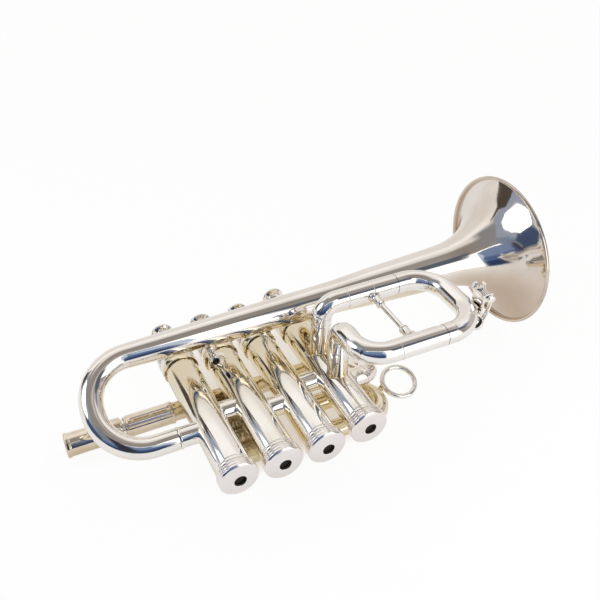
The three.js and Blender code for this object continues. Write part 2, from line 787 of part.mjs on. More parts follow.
const saddle = solid(saddlePlate).add(solid(ears[0])).add(solid(ears[1]));
piece("water_key_saddle", silver, saddle.subtract(pinHole));

const pinLow = earLow - seatGap;
const pinHigh = earHigh + keyEar + seatGap;
const ballProfile = (end, way) => [
  point(keyPinRadius, end), point(keyBallRadius * 0.8, end + way * keyBallRadius * 0.25),
  point(keyBallRadius, end + way * keyBallRadius),
  point(keyBallRadius * 0.7, end + way * keyBallRadius * 1.7),
  point(0, end + way * keyBallRadius * 2),
];
piece("water_key_pin", brightSilver, turned(
  [...ballProfile(pinLow, -1).reverse(), ...ballProfile(pinHigh, 1)], keyPivot, yAxis, slimSides,
));

const barrel = turned([
  point(keyPinRadius + seatGap, -keyBarrelLength / 2), point(keyBarrelRadius, -keyBarrelLength / 2),
  point(keyBarrelRadius, keyBarrelLength / 2), point(keyPinRadius + seatGap, keyBarrelLength / 2),
  point(keyPinRadius + seatGap, -keyBarrelLength / 2),
], keyPivot, yAxis, tubeSides);
const corkBase = bowMiddle.clone().addScaledVector(keyNormal, nippleReach + seatGap);
const cupBase = corkBase.clone().addScaledVector(keyNormal, corkHeight + seatGap);
const cup = turned([
  point(0, 0), point(cupRadius, 0), point(cupRadius, cupHeight / 2), point(cupRadius / 2, cupHeight),
  point(0, cupHeight),
], cupBase, keyNormal, tubeSides);
const cupBack = cupBase.clone().addScaledVector(keyNormal, cupHeight);
const armBend = keyPivot.clone().lerp(cupBack, 0.5).addScaledVector(xAxis, keyArmBulge);
const arm = (from, to) => {
  const way = to.clone().sub(from);
  const size = at(way.length() + keyArmThick, keyArmWidth, keyArmThick);
  return solid(block(from.clone().lerp(to, 0.5), size, -Math.atan2(way.z, way.x)));
};
const thumbTip = keyPivot.clone().add(at(-keyThumbReach * 0.35, 0, keyThumbReach));
const armStart = keyPivot.clone().addScaledVector(xAxis, keyBarrelRadius);
const pinClear = bore(
  at(keyPivot.x, saddleMiddle - saddleWidth, keyPivot.z), yAxis, saddleWidth * 2, keyPinRadius + slideGap,
);
piece("water_key_lever", silver, solid(barrel).add(arm(armStart, armBend)).add(arm(armBend, cupBack))
  .add(arm(keyPivot, thumbTip)).add(solid(cup)).subtract(pinClear));
piece("water_key_cork", corkFinish, turned([
  point(0, 0), point(corkRadius, 0), point(corkRadius, corkHeight), point(0, corkHeight),
], corkBase, keyNormal, tubeSides));

const keySpringLow = keyBarrelLength / 2 + seatGap + keySpringWire;
const keySpringStart = keyPivot.clone().addScaledVector(yAxis, keySpringLow);
const keySpring = coil(
  keySpringStart, yAxis, keyPinRadius + seatGap + keySpringWire * 2, keySpringWire, keySpringCurls,
  keySpringCurls * keySpringPitch,
);
springGaps.push(keySpring.userData.selfGap);
piece("water_key_spring", plainSteel, keySpring);

// Leadpipe: the receiver and inner pipe pull out of the sleeve for tuning
const leadAt = (x) => at(x, leadHeight, leadSide);
piece("mouthpiece_receiver", silver, turned([
  point(receiverBore, 0), point(receiverRadius + receiverLip, 0),
  point(receiverRadius + receiverLip, receiverLip * 3),
  point(receiverRadius, receiverLip * 6), point(receiverRadius, receiverInnerEnd - receiverEnd),
  point(leadInnerRadius + seatGap, receiverInnerEnd - receiverEnd),
  point(leadInnerRadius + seatGap, receiverSocket), point(receiverThroat, receiverSocket),
  point(receiverBore, 0),
], leadAt(receiverEnd), xAxis, tubeSides));
const leadInnerEnds = [leadAt(receiverEnd + receiverSocket + seatGap), leadAt(leadInnerEnd)];
piece("leadpipe_inner", brightSilver, tube(leadInnerEnds, legRadius, leadInnerRadius, leadInnerBore));
const sleeve = solid(turned([
  point(leadBore, 0), point(sleeveRadius, 0), point(sleeveRadius, sleeveEnd - sleeveStart),
  point(leadRadius, sleeveEnd - sleeveStart), point(leadRadius, leadEnd - sleeveStart),
  point(leadBore, leadEnd - sleeveStart), point(leadBore, 0),
], leadAt(sleeveStart), xAxis, tubeSides));
const rodPlace = leadAt(sleeveStart + rodInset).add(at(0, -rodDrop, sleeveRadius + rodRadius));
const rodLength = sleeveEnd - sleeveStart - rodInset - rodBall;
const rod = solid(turned([
  point(0, 0), point(rodRadius, 0), point(rodRadius, rodLength - rodBall),
  point(rodBall, rodLength - rodBall / 2),
  point(rodBall, rodLength + rodBall / 2), point(0, rodLength + rodBall),
], rodPlace, xAxis, slimSides));
const rodFeet = [rodRadius, rodLength / 2].map((way) => solid(block(
  rodPlace.clone().add(at(way, 0, -rodRadius)), at(rodRadius * 2, rodRadius, rodRadius * 2),
)));
piece("leadpipe_sleeve", silver, sleeve.add(rod).add(rodFeet[0]).add(rodFeet[1]));
piece("leadpipe_front_bow", silver, solid(tube([
  leadAt(leadEnd + seatGap), leadAt(frontBowFront),
  at(frontBowFront, frontPortHeight, valve4.z), at(valve4.x, frontPortHeight, valve4.z),
], frontBowBend, leadRadius, leadBore)).subtract(valve4Cutter));

// Braces between the bell tube and the casings
[valve2, valve3].forEach((valve, i) => {
  const x = i === 0 ? valve.x - bellBraceBack : valve.x;
  const share = (x - bellTailEnd) / bellLength;
  const under = bellSide - bellRadiusAt(share * braceFlareShare) - seatGap - valve.z;
  const post = turned([
    point(0, 0), point(bellBraceRadius, 0), point(bellBraceRadius, under - bellBraceFootHeight),
    point(bellBraceFoot, under - bellBraceFootHeight), point(bellBraceFoot, under), point(0, under),
  ], at(x, bellHeight - bellBraceDrop, valve.z), zAxis, slimSides);
  piece(`bell_brace_${i + 1}`, silver, solid(post).subtract(casingCutter(valve)));
});

for (const gap of springGaps) console.log("least gap between a spring's curls, mm:", gap.toFixed(2));

// The origin lies under the middle of the instrument, at the table
const bounds = new THREE.Box3().setFromObject(instrument);
const middle = bounds.getCenter(new THREE.Vector3());
instrument.position.set(-middle.x, -middle.y, -bounds.min.z);
const model = new THREE.Group();
model.add(instrument);
console.log("shift of the origin, mm:", instrument.position.toArray().map((v) => v.toFixed(3)).join(" "));

export default model;
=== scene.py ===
import bmesh
import bpy
import math
from mathutils import Matrix, Quaternion, Vector


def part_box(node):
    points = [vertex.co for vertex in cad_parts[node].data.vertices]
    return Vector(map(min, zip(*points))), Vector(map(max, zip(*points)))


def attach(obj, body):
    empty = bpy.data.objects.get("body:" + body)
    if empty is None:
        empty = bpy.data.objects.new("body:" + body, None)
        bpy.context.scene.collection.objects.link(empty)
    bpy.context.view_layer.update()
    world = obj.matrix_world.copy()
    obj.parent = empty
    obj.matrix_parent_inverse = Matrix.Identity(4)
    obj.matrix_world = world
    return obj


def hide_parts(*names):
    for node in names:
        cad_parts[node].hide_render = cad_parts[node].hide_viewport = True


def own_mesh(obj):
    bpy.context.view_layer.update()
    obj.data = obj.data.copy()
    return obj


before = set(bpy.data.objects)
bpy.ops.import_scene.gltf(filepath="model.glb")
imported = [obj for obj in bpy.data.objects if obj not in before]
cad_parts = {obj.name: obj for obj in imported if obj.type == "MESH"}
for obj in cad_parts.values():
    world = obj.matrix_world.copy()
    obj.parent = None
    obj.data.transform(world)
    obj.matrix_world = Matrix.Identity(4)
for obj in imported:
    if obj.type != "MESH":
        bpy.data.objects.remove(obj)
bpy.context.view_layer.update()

# Sizes are in millimetres, from the hole in valve 1's bottom cap: +X to the bell,
# +Y to the finger buttons, +Z up. ORIGIN takes them to the frame, in metres.
MM = 0.001
LOW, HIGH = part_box("bottom_cap_1")
ORIGIN = Vector(((LOW[0] + HIGH[0]) / 2, LOW[1], (LOW[2] + HIGH[2]) / 2))
X, Y, Z = Vector((1, 0, 0)), Vector((0, 1, 0)), Vector((0, 0, 1))

# Where things are
VALVE_X = (0.0, 24.0, 48.0, 72.0)
VALVE_Z = (0.0, 0.0, 0.0, 4.0)
CASING_R, CASING_BORE, CASING_LOW, CASING_TOP = 9.4, 8.6, 7.4, 90.8
CAP_R = 10.45
KNUCKLE_Y = (47.7, 39.5, 47.0)
BELL_Y, BELL_Z = 83.2, 25.4
BELL_TAIL, BELL_MOUTH, BELL_WALL = -30.2, 210.4, 0.55
CROOK_X, CROOK_BEND, PORT_Y, PORT_END = -54.6, 24.4, 39.2, 18.3
LOOP_Z, LOOP_TOP_Y, LOOP_FOOT_Y, LOOP_LOW_Y = 43.7, 58.2, 37.6, 9.6
LOOP_R, LOOP_BORE, LOOP_JOINT_X, LOOP_END_X, LOOP_BEND = 5.65, 5.1, 117, 140, 18
SEAM_WIDTH, SEAM_DEPTH = 0.9, -0.45
SMALL_Z, SMALL_R, SMALL_BORE = -16.4, 5.3, 4.8
LEAD_Y, LEAD_Z, LEAD_FOOT_Y = 73.5, -15.3, 37.5


def at(x, y, z):
    return Vector((x, y, z))


# ---------------------------------------------------------------- shader nodes
def nodes_of(name):
    mat = bpy.data.materials.new(name)
    mat.use_nodes = True
    tree = mat.node_tree
    tree.nodes.clear()
    return mat, tree


def put(tree, kind, **values):
    """A new node. A value whose name starts with in_ goes to that input."""
    node = tree.nodes.new(kind)
    for key, value in values.items():
        if key.startswith("in_"):
            node.inputs[key[3:].replace("_", " ")].default_value = value
        else:
            setattr(node, key, value)
    return node


def feed(tree, socket, value):
    """Links a socket to another one, or sets it to a number or a colour."""
    if isinstance(value, bpy.types.NodeSocket):
        tree.links.new(value, socket)
    else:
        socket.default_value = (*value, 1) if isinstance(value, tuple) else value


def ramp(tree, source, stops):
    node = tree.nodes.new("ShaderNodeValToRGB")
    for element, (place, colour) in zip(node.color_ramp.elements, stops):
        element.position = place
        element.color = (*colour, 1)
    tree.links.new(source, node.inputs["Fac"])
    return node.outputs["Color"]


def maths(tree, operation, *values, clamp=False):
    node = put(tree, "ShaderNodeMath", operation=operation, use_clamp=clamp)
    for socket, value in zip(node.inputs, values):
        feed(tree, socket, value)
    return node.outputs[0]


def spread(tree, value, start, end, low=0.0, high=1.0, kind="SMOOTHSTEP"):
    """Carries a value from start..end over to low..high."""
    node = put(tree, "ShaderNodeMapRange", interpolation_type=kind, in_From_Min=start, in_From_Max=end,
               in_To_Min=low, in_To_Max=high)
    tree.links.new(value, node.inputs["Value"])
    return node.outputs["Result"]


def within(tree, edges):
    """The product of soft edges, each a value, where it is 0 and where it is 1."""
    whole = None
    for value, start, end in edges:
        edge = spread(tree, value, start, end)
        whole = edge if whole is None else maths(tree, "MULTIPLY", whole, edge)
    return whole


def mixed(tree, share, a, b):
    """Colour a with a share of colour b."""
    node = put(tree, "ShaderNodeMix", data_type="RGBA")
    for name, value in (("Factor", share), ("A", a), ("B", b)):
        feed(tree, node.inputs[name], value)
    return node.outputs["Result"]


def noise(tree, place, scale, detail, roughness=0.5):
    node = put(tree, "ShaderNodeTexNoise", in_Scale=scale, in_Detail=detail, in_Roughness=roughness)
    tree.links.new(place, node.inputs["Vector"])
    return node.outputs["Fac"]


def relief(tree, height, strength, depth, below=None):
    node = put(tree, "ShaderNodeBump", in_Strength=strength, in_Distance=depth)
    tree.links.new(height, node.inputs["Height"])
    if below:
        tree.links.new(below, node.inputs["Normal"])
    return node.outputs["Normal"]


def split(tree, vector):
    """The three coordinates of a vector."""
    axes = put(tree, "ShaderNodeSeparateXYZ")
    tree.links.new(vector, axes.inputs[0])
    return axes.outputs


def principled(tree, metal):
    out = put(tree, "ShaderNodeOutputMaterial")
    bsdf = put(tree, "ShaderNodeBsdfPrincipled")
    bsdf.inputs["Metallic"].default_value = metal
    tree.links.new(bsdf.outputs["BSDF"], out.inputs["Surface"])
    return bsdf.inputs


# ---------------------------------------------------------------- materials
# The plate's patterns. A scale is how many to a metre, a depth is in metres.
BLACK, WHITE = (0, 0, 0), (1, 1, 1)
PATCH_DETAIL, PATCH_ROUGH, PATCH_EDGES = 5.0, 0.6, (0.48, 0.72)
BLOTCH_DETAIL, BLOTCH_ROUGH, BLOTCH_EDGES, BLOTCH_SHARES = 3.0, 0.55, (0.38, 0.62), (0.5, 1.1)
FLECK_SCALE, FLECK_SIZE, FLECK_GROWTH, FLECK_COLOUR = 150.0, 0.05, 0.07, (0.28, 0.2, 0.13)
SPARSE_SCALE, SPARSE_DETAIL, SPARSE_EDGES = 60.0, 2.0, (0.56, 0.62)
HAZE_SCALE, HAZE_DETAIL, HAZE_ROUGH, HAZE_EDGES = 90.0, 6.0, 0.65, (0.35, 0.75)
HAZE_SHARES, RUBBED = (0.55, 1.9), 0.12
DENT_SCALE, DENT_DETAIL, DENT_STRENGTH, DENT_DEPTH = 55.0, 1.0, 0.05, 0.0012
SCRATCH_SCALE, SCRATCH_DETAIL, SCRATCH_STRENGTH, SCRATCH_DEPTH = 900.0, 2.0, 0.02, 0.0001
GRAIN_DETAIL, GRAIN_ROUGH, GRAIN_EDGES, GRAIN_DEPTH = 6.0, 0.7, (0.35, 0.65), 0.0003


def silver(name, tone=(0.975, 0.945, 0.90), stain=(0.80, 0.70, 0.58), stained=0.35, rough=0.055, spots=0.0,
           under=0.5, turned=(0.1, -0.6), warmth=(0.80, 0.67, 0.41), tint_ramp=None, metal=1.0, patches=34.0,
           blotches=20.0):
    """Silver plate: wiping marks in the gloss, a tarnish in patches, a warm painted bounce light on faces
    that are turned down (up to under), tiny dents and dark specks. A ramp, if given, is an axis, two places
    along it in
    millimetres, and the most stain: it grows from the first place to the second. On the bell that stain is
    tarnish, on the valve casings it is a painted reflection of the bell tube, and on the loop's legs it is a
    gold that grows towards valve 4."""
    mat, t = nodes_of(name)
    bsdf = principled(t, metal)
    place = put(t, "ShaderNodeTexCoord").outputs["Object"]
    patch = ramp(t, noise(t, place, patches, PATCH_DETAIL, PATCH_ROUGH), zip(PATCH_EDGES, (BLACK, WHITE)))
    amount = maths(t, "MULTIPLY", patch, stained)
    # A stain that grows along an axis: tarnish on the bell, a painted reflection of the bell tube on the
    # valve casings.
    if tint_ramp:
        axis, start, end, most = tint_ramp
        zero = ORIGIN["XYZ".index(axis)]
        grown = spread(t, split(t, place)[axis], zero + start * MM, zero + end * MM, 0.0, most)
        amount = maths(t, "ADD", amount, grown, clamp=True)
        warmth = mixed(t, maths(t, "MULTIPLY", grown, 1 / most, clamp=True), warmth, stain)
    # Painted bounce light: faces turned down take the warm colour, more in some blotches than in others.
    normal = put(t, "ShaderNodeNewGeometry").outputs["Normal"]
    below = spread(t, split(t, normal)["Z"], *turned, 0.0, under)
    blotch = noise(t, place, blotches, BLOTCH_DETAIL, BLOTCH_ROUGH)
    uneven = spread(t, blotch, *BLOTCH_EDGES, *BLOTCH_SHARES, "LINEAR")
    painted_bounce = maths(t, "MULTIPLY", below, uneven, clamp=True)
    colour = mixed(t, painted_bounce, mixed(t, amount, tone, stain), warmth)
    fleck = put(t, "ShaderNodeTexVoronoi", in_Scale=FLECK_SCALE, in_Randomness=1.0)
    t.links.new(place, fleck.inputs["Vector"])
    size = FLECK_SIZE + FLECK_GROWTH * spots
    dots = ramp(t, fleck.outputs["Distance"], ((0.0, WHITE), (size, BLACK)))
    where = ramp(t, noise(t, place, SPARSE_SCALE, SPARSE_DETAIL), zip(SPARSE_EDGES, (BLACK, WHITE)))
    few = maths(t, "MULTIPLY", maths(t, "MULTIPLY", dots, where), min(1.0, spots))
    feed(t, bsdf["Base Color"], mixed(t, few, colour, FLECK_COLOUR))
    haze = noise(t, place, HAZE_SCALE, HAZE_DETAIL, HAZE_ROUGH)
    gloss = spread(t, haze, *HAZE_EDGES, *(rough * share for share in HAZE_SHARES), "LINEAR")
    feed(t, bsdf["Roughness"], maths(t, "MULTIPLY_ADD", patch, RUBBED, gloss))
    dents = relief(t, noise(t, place, DENT_SCALE, DENT_DETAIL), DENT_STRENGTH, DENT_DEPTH)
    lines = noise(t, place, SCRATCH_SCALE, SCRATCH_DETAIL)
    feed(t, bsdf["Normal"], relief(t, lines, SCRATCH_STRENGTH, SCRATCH_DEPTH, dents))
    return mat


def grained(name, colour, shade, scale, rough, bump, metal=0.0):
    """A plain matt or satin stuff with a grain in its colour and its surface."""
    mat, t = nodes_of(name)
    bsdf = principled(t, metal)
    bsdf["Roughness"].default_value = rough
    place = put(t, "ShaderNodeTexCoord").outputs["Object"]
    grain = noise(t, place, scale, GRAIN_DETAIL, GRAIN_ROUGH)
    feed(t, bsdf["Base Color"], ramp(t, grain, zip(GRAIN_EDGES, (shade, colour))))
    feed(t, bsdf["Normal"], relief(t, grain, bump, GRAIN_DEPTH))
    return mat


PLATE = silver("silver_plate", tone=(0.975, 0.94, 0.895), spots=0.25, under=0.35)
# On the casings the gold that grows towards the finger buttons is a painted reflection of the bell tube, and
# their sides take a strong painted gold bounce light.
VALVE_PLATE = silver("silver_valves", tone=(0.975, 0.955, 0.925), stain=(0.80, 0.67, 0.37), stained=0.2,
                     spots=0.2, under=0.95, turned=(0.55, -0.3), warmth=(0.82, 0.69, 0.40),
                     tint_ramp=("Y", 25, 95, 0.6))
# The bell's stain towards the flare is tarnish. Its underside takes the painted warm bounce light.
BELL_PLATE = silver("silver_bell", tone=(0.965, 0.93, 0.89), stain=(0.61, 0.475, 0.36), rough=0.06, spots=0.6,
                    under=0.85, turned=(0.5, -0.2), warmth=(0.80, 0.66, 0.40), tint_ramp=("X", 110, 205, 0.1),
                    patches=16.0, blotches=13.0)
RIM_PLATE = silver("silver_rim", tone=(0.76, 0.68, 0.59), stain=(0.45, 0.33, 0.24), stained=0.6, rough=0.06,
                   spots=0.4, under=0.6, warmth=(0.52, 0.41, 0.30))
# The slides' gold tone paints the gold bounce light in the gaps between the valves, where they lie.
SLIDE_PLATE = silver("silver_slides", tone=(0.94, 0.82, 0.56), stain=(0.85, 0.68, 0.36), stained=0.5,
                     spots=0.1, turned=(0.6, -0.3), warmth=(0.86, 0.68, 0.34), metal=0.42)
LOOP_PLATE = silver("silver_loop", tone=(0.975, 0.95, 0.92), stain=(0.80, 0.69, 0.61), stained=0.3,
                    rough=0.05, spots=0.45, under=0.1)
# The loop's legs grow more gold towards the bottom, near valve 4.
LEG_PLATE = silver("silver_legs", tone=(0.975, 0.95, 0.92), stain=(0.74, 0.58, 0.31), stained=0.12,
                   rough=0.05, spots=0.45, under=0.1, warmth=(0.74, 0.58, 0.31), tint_ramp=("Z", 32, 10, 0.85))
BOW_PLATE = silver("silver_bow", tone=(0.95, 0.89, 0.74), stain=(0.80, 0.64, 0.34), stained=0.5, spots=0.1,
                   under=0.9, turned=(0.6, -0.4), warmth=(0.78, 0.60, 0.28), metal=0.9)
BRIGHT = silver("bright_silver", tone=(0.965, 0.945, 0.9), stained=0.15, rough=0.04, spots=0.1, under=0.3)
CAP_PLATE = silver("silver_cap", tone=(0.955, 0.905, 0.89), stained=0.3, rough=0.14, spots=0.2, under=0.3)
GOLD = silver("warm_silver", tone=(0.94, 0.86, 0.73), stain=(0.66, 0.50, 0.34), stained=0.7, rough=0.07,
              spots=0.5, under=0.7, turned=(0.7, -0.2), warmth=(0.66, 0.50, 0.30), metal=0.95)
# A painted shade: the dark stuff of the ring that fills the groove under each top cap.
SEAM_SHADE = grained("painted_seam_shade", (0.10, 0.055, 0.03), (0.04, 0.022, 0.012), 900, 0.6, 0.3)
MONEL = grained("piston_alloy", (0.74, 0.71, 0.64), (0.66, 0.63, 0.57), 260, 0.22, 0.04, 1.0)
STEEL = grained("spring_steel", (0.62, 0.62, 0.62), (0.5, 0.5, 0.5), 400, 0.3, 0.05, 1.0)
FELT = grained("felt", (0.88, 0.85, 0.77), (0.76, 0.72, 0.63), 1800, 0.95, 0.7)
# Cork for the water key. The same dark stuff is painted shade inside the holes of the bottom caps and the
# brace's socket.
CORK_AND_HOLE_SHADE = grained("cork", (0.045, 0.032, 0.024), (0.012, 0.009, 0.008), 1200, 0.85, 0.6)


# ---------------------------------------------------------------- mesh makers
def mesh(name, verts, faces, body, material, slot, nodes=(), smooth=38.0):
    data = bpy.data.meshes.new(name)
    data.from_pydata([ORIGIN + v * MM for v in verts], [], faces)
    data.validate()
    bm = bmesh.new()
    bm.from_mesh(data)
    bmesh.ops.remove_doubles(bm, verts=bm.verts, dist=1e-7)
    bmesh.ops.recalc_face_normals(bm, faces=bm.faces)
    for face in bm.faces:
        face.smooth = True
    for edge in bm.edges:
        edge.smooth = len(edge.link_faces) == 2 and edge.calc_face_angle() < math.radians(smooth)
    bm.to_mesh(data)
    bm.free()
    obj = bpy.data.objects.new(name, data)
    bpy.context.scene.collection.objects.link(obj)
    data.materials.append(material)
    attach(obj, body)
    if nodes:
        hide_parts(*nodes)
    return obj


def rounded(profile, radius=0.25, steps=3):
    """Rounds the corners of a profile of (height, radius) points, but not its ends."""
    if len(profile) < 3:
        return list(profile)
    out = [profile[0]]
    for before, here, after in zip(profile, profile[1:], profile[2:]):
        b, h, a = Vector(before), Vector(here), Vector(after)
        into, onward = h - b, a - h
        if into.length < 1e-6 or onward.length < 1e-6 or into.angle(onward) < 0.2:
            out.append(here)
            continue
        cut = min(radius, into.length * 0.45, onward.length * 0.45)
        start, end = h - into.normalized() * cut, h + onward.normalized() * cut
        for k in range(steps + 1):
            s = k / steps
            p = start * (1 - s) ** 2 + h * 2 * s * (1 - s) + end * s ** 2
            out.append((p.x, p.y))
    out.append(profile[-1])
    return out


def lathe(profile, base, axis, around=96, closed=False, wobble=None):
    """Turns (height, radius) points about an axis, into a ring if closed, else from axis to axis."""
    turn = axis.to_track_quat("Z", "Y")
    verts, faces, rows = [], [], []
    for height, radius in profile:
        if radius < 1e-6:
            rows.append([len(verts)])
            verts.append(base + turn @ Vector((0, 0, height)))
            continue
        rows.append(list(range(len(verts), len(verts) + around)))
        for k in range(around):
            a = 2 * math.pi * k / around
            r = radius + (wobble(height, k) if wobble else 0)
            verts.append(base + turn @ Vector((r * math.cos(a), r * math.sin(a), height)))
    pairs = list(zip(rows, rows[1:]))
    if closed:
        pairs.append((rows[-1], rows[0]))
    for low, high in pairs:
        for k in range(around):
            n = (k + 1) % around
            if len(low) == 1 and len(high) == 1:
                continue
            if len(low) == 1:
                faces.append((low[0], high[n], high[k]))
            elif len(high) == 1:
                faces.append((low[k], low[n], high[0]))
            else:
                faces.append((low[k], low[n], high[n], high[k]))
    return verts, faces


class Path:
    """Straight runs joined by round bends, measured along their length."""

    def __init__(self, corners, bend):
        bends = bend if isinstance(bend, (list, tuple)) else [bend] * (len(corners) - 2)
        self.bits, self.length = [], 0.0
        here = corners[0].copy()
        way = (corners[1] - corners[0]).normalized()
        turn = way.to_track_quat("Z", "Y")
        for i in range(1, len(corners) - 1):
            into = (corners[i] - corners[i - 1]).normalized()
            onward = (corners[i + 1] - corners[i]).normalized()
            angle = into.angle(onward)
            radius = bends[i - 1]
            start = corners[i] - into * radius * math.tan(angle / 2)
            self._line(here, start, turn)
            axis = into.cross(onward).normalized()
            centre = start + axis.cross(into) * radius
            self.bits.append(("arc", self.length, radius * angle, centre, start - centre, axis, turn.copy(),
                              angle))
            self.length += radius * angle
            spin = Quaternion(axis, angle)
            here = centre + spin @ (start - centre)
            turn = spin @ turn
        self._line(here, corners[-1], turn)

    def _line(self, start, end, turn):
        run = (end - start).length
        self.bits.append(("line", self.length, run, start.copy(), (end - start).normalized(), None,
                          turn.copy(), 0))
        self.length += run

    def frame(self, s):
        for kind, low, run, a, b, axis, turn, angle in self.bits:
            if s <= low + run + 1e-9:
                break
        d = s - low
        if kind == "line":
            return a + b * d, turn
        spin = Quaternion(axis, angle * (d / run))
        return a + spin @ b, spin @ turn

    def marks(self, step=0.07):
        """Lengths at which a bend needs a ring."""
        out = []
        for kind, low, run, a, b, axis, turn, angle in self.bits:
            if kind == "arc":
                n = max(2, math.ceil(angle / step))
                out += [low + run * k / n for k in range(n + 1)]
        return out


def filled(profile, marks):
    """The profile of (length, radius) points with rings added where the path bends."""
    out = list(profile)
    for s in marks:
        if profile[0][0] + 0.2 < s < profile[-1][0] - 0.2:
            for (s0, r0), (s1, r1) in zip(profile, profile[1:]):
                if s0 < s < s1 and s1 - s0 > 0.3:
                    out.append((s, r0 + (r1 - r0) * (s - s0) / (s1 - s0)))
                    break
    return sorted(out, key=lambda p: p[0])


def cylinder_hit(point, way, valve, radius):
    """How far along way a point meets a casing's cylinder."""
    cx, cz = VALVE_X[valve], VALVE_Z[valve]
    px, pz, wx, wz = point.x - cx, point.z - cz, way.x, way.z
    a, b, c = wx * wx + wz * wz, px * wx + pz * wz, px * px + pz * pz - radius * radius
    if a < 1e-9:
        return 0.0
    root = b * b - a * c
    return (-b - math.sqrt(root)) / a if root > 0 else -b / a


SUNK = 0.12  # how deep a tube's foot sits in a casing


def pipe(path, outer, inner=None, around=40, on_casing=None, flare=0.3):
    """A tube along a path, from (length, radius) profiles. on_casing names the valves that its start and
    end are fitted to, with a fillet as wide as flare."""
    start_on, end_on = on_casing or (None, None)
    verts, faces, rows = [], [], []

    def ring(s, radius, along=0.0, valve=None, reach=None, sign=1.0):
        centre, turn = path.frame(s)
        row = []
        for k in range(around):
            a = 2 * math.pi * k / around
            p = centre + turn @ Vector((radius * math.cos(a), radius * math.sin(a), 0))
            if valve is not None:
                way = (turn @ Z) * sign
                back = p - way * 30
                p = back + way * (cylinder_hit(back, way, valve, reach) - along)
            row.append(len(verts))
            verts.append(p)
        rows.append(row)

    marks = path.marks()
    shell = filled(outer, marks)
    s0, r0 = shell[0]
    s1, r1 = shell[-1]
    if start_on is not None:
        ring(s0, r0 + flare, 0.0, start_on, CASING_R - SUNK, -1.0)
        ring(s0, r0 + flare * 0.35, 0.35, start_on, CASING_R, -1.0)
        ring(s0, r0, 1.0, start_on, CASING_R, -1.0)
        shell = shell[1:]
    if end_on is not None:
        shell = shell[:-1]
    for s, r in shell:
        ring(s, r)
    if end_on is not None:
        ring(s1, r1, 1.0, end_on, CASING_R, 1.0)
        ring(s1, r1 + flare * 0.35, 0.35, end_on, CASING_R, 1.0)
        ring(s1, r1 + flare, 0.0, end_on, CASING_R - SUNK, 1.0)
    if inner:
        bore = filled(inner, marks)[::-1]
        for i, (s, r) in enumerate(bore):
            if i == 0 and end_on is not None:
                ring(s, r, 0.0, end_on, CASING_R - SUNK, 1.0)
            elif i == len(bore) - 1 and start_on is not None:
                ring(s, r, 0.0, start_on, CASING_R - SUNK, -1.0)
            else:
                ring(s, r)
    for low, high in zip(rows, rows[1:]):
        for k in range(around):
            n = (k + 1) % around
            faces.append((low[k], low[n], high[n], high[k]))
    if inner:
        for k in range(around):
            n = (k + 1) % around
            faces.append((rows[-1][k], rows[-1][n], rows[0][n], rows[0][k]))
    else:
        faces.append(tuple(rows[0][::-1]))
        faces.append(tuple(rows[-1]))
    return verts, faces


def together(*shapes):
    verts, faces = [], []
    for v, f in shapes:
        first = len(verts)
        verts += v
        faces += [tuple(first + i for i in face) for face in f]
    return verts, faces


def collar(s, width, radius, rise=0.5):
    """A half-round ring on a tube's profile, from length s."""
    return [(s, radius), (s + 0.05, radius + rise * 0.7), (s + width * 0.3, radius + rise),
            (s + width * 0.7, radius + rise), (s + width - 0.05, radius + rise * 0.7), (s + width, radius)]


def plain(radius, length, low=0.0, rings=()):
    """A straight profile with collars. rings are (length, width, rise)."""
    out = [(low, radius)]
    for s, width, rise in sorted(rings):
        out += collar(s, width, radius, rise)
    return out + [(length, radius)]


def hoop(radius, wire, base, axis, around=128, section=20):
    angles = [2 * math.pi * k / section for k in range(section)]
    profile = [(wire * math.sin(a), radius + wire * math.cos(a)) for a in angles]
    return lathe(profile, base, axis, around, closed=True)


def slab(centre, size, turn=0.0, bevel=0.3, steps=3):
    """A block with rounded edges, turned about Y."""
    bm = bmesh.new()
    bmesh.ops.create_cube(bm, size=1.0)
    for v in bm.verts:
        v.co = Vector((v.co.x * size[0], v.co.y * size[1], v.co.z * size[2]))
    bmesh.ops.bevel(bm, geom=list(bm.edges), offset=bevel, segments=steps, affect="EDGES", profile=0.6)
    spin = Matrix.Rotation(turn, 3, "Y")
    verts = [centre + spin @ v.co for v in bm.verts]
    bm.verts.index_update()
    faces = [tuple(v.index for v in f.verts) for f in bm.faces]
    bm.free()
    return verts, faces


def refinish(node, material):
    """Gives a CAD node that stays a better material."""
    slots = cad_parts[node].data.materials
    slots.clear()
    slots.append(material)


# ---------------------------------------------------------------- valves
def casing(i):
    low, top, r, bore = CASING_LOW, CASING_TOP, CASING_R, CASING_BORE
    base = at(VALVE_X[i], 0, VALVE_Z[i])
    profile = rounded([
        (low, bore), (low, r + 0.05), (low + 1.3, r + 0.05), (low + 1.5, r - 0.12), (low + 1.9, r - 0.12),
        (low + 2.1, r), (top - 4.6, r), (top - 4.5, r - 0.5), (top - 3.9, r - 0.5), (top - 3.8, r + 0.75),
        (top - 0.6, r + 0.75), (top, r - 0.2), (top, bore), (low, bore)], 0.12, 2)[:-1]
    verts, faces = lathe(profile, base, Y, 112, closed=True)
    mesh(f"casing_{i + 1}", verts, faces, "instrument", VALVE_PLATE, "silver_plate",
         [f"valve_casing_{i + 1}"])
    # A dark ring sunk in the groove paints the shade of the gap under the top cap.
    seam = [(top - 4.48, r - 0.6), (top - 4.48, r - 0.1), (top - 3.88, r - 0.1), (top - 3.88, r - 0.6)]
    mesh(f"casing_{i + 1}_seam", *lathe(seam, base, Y, 96, closed=True), "instrument", SEAM_SHADE, None)


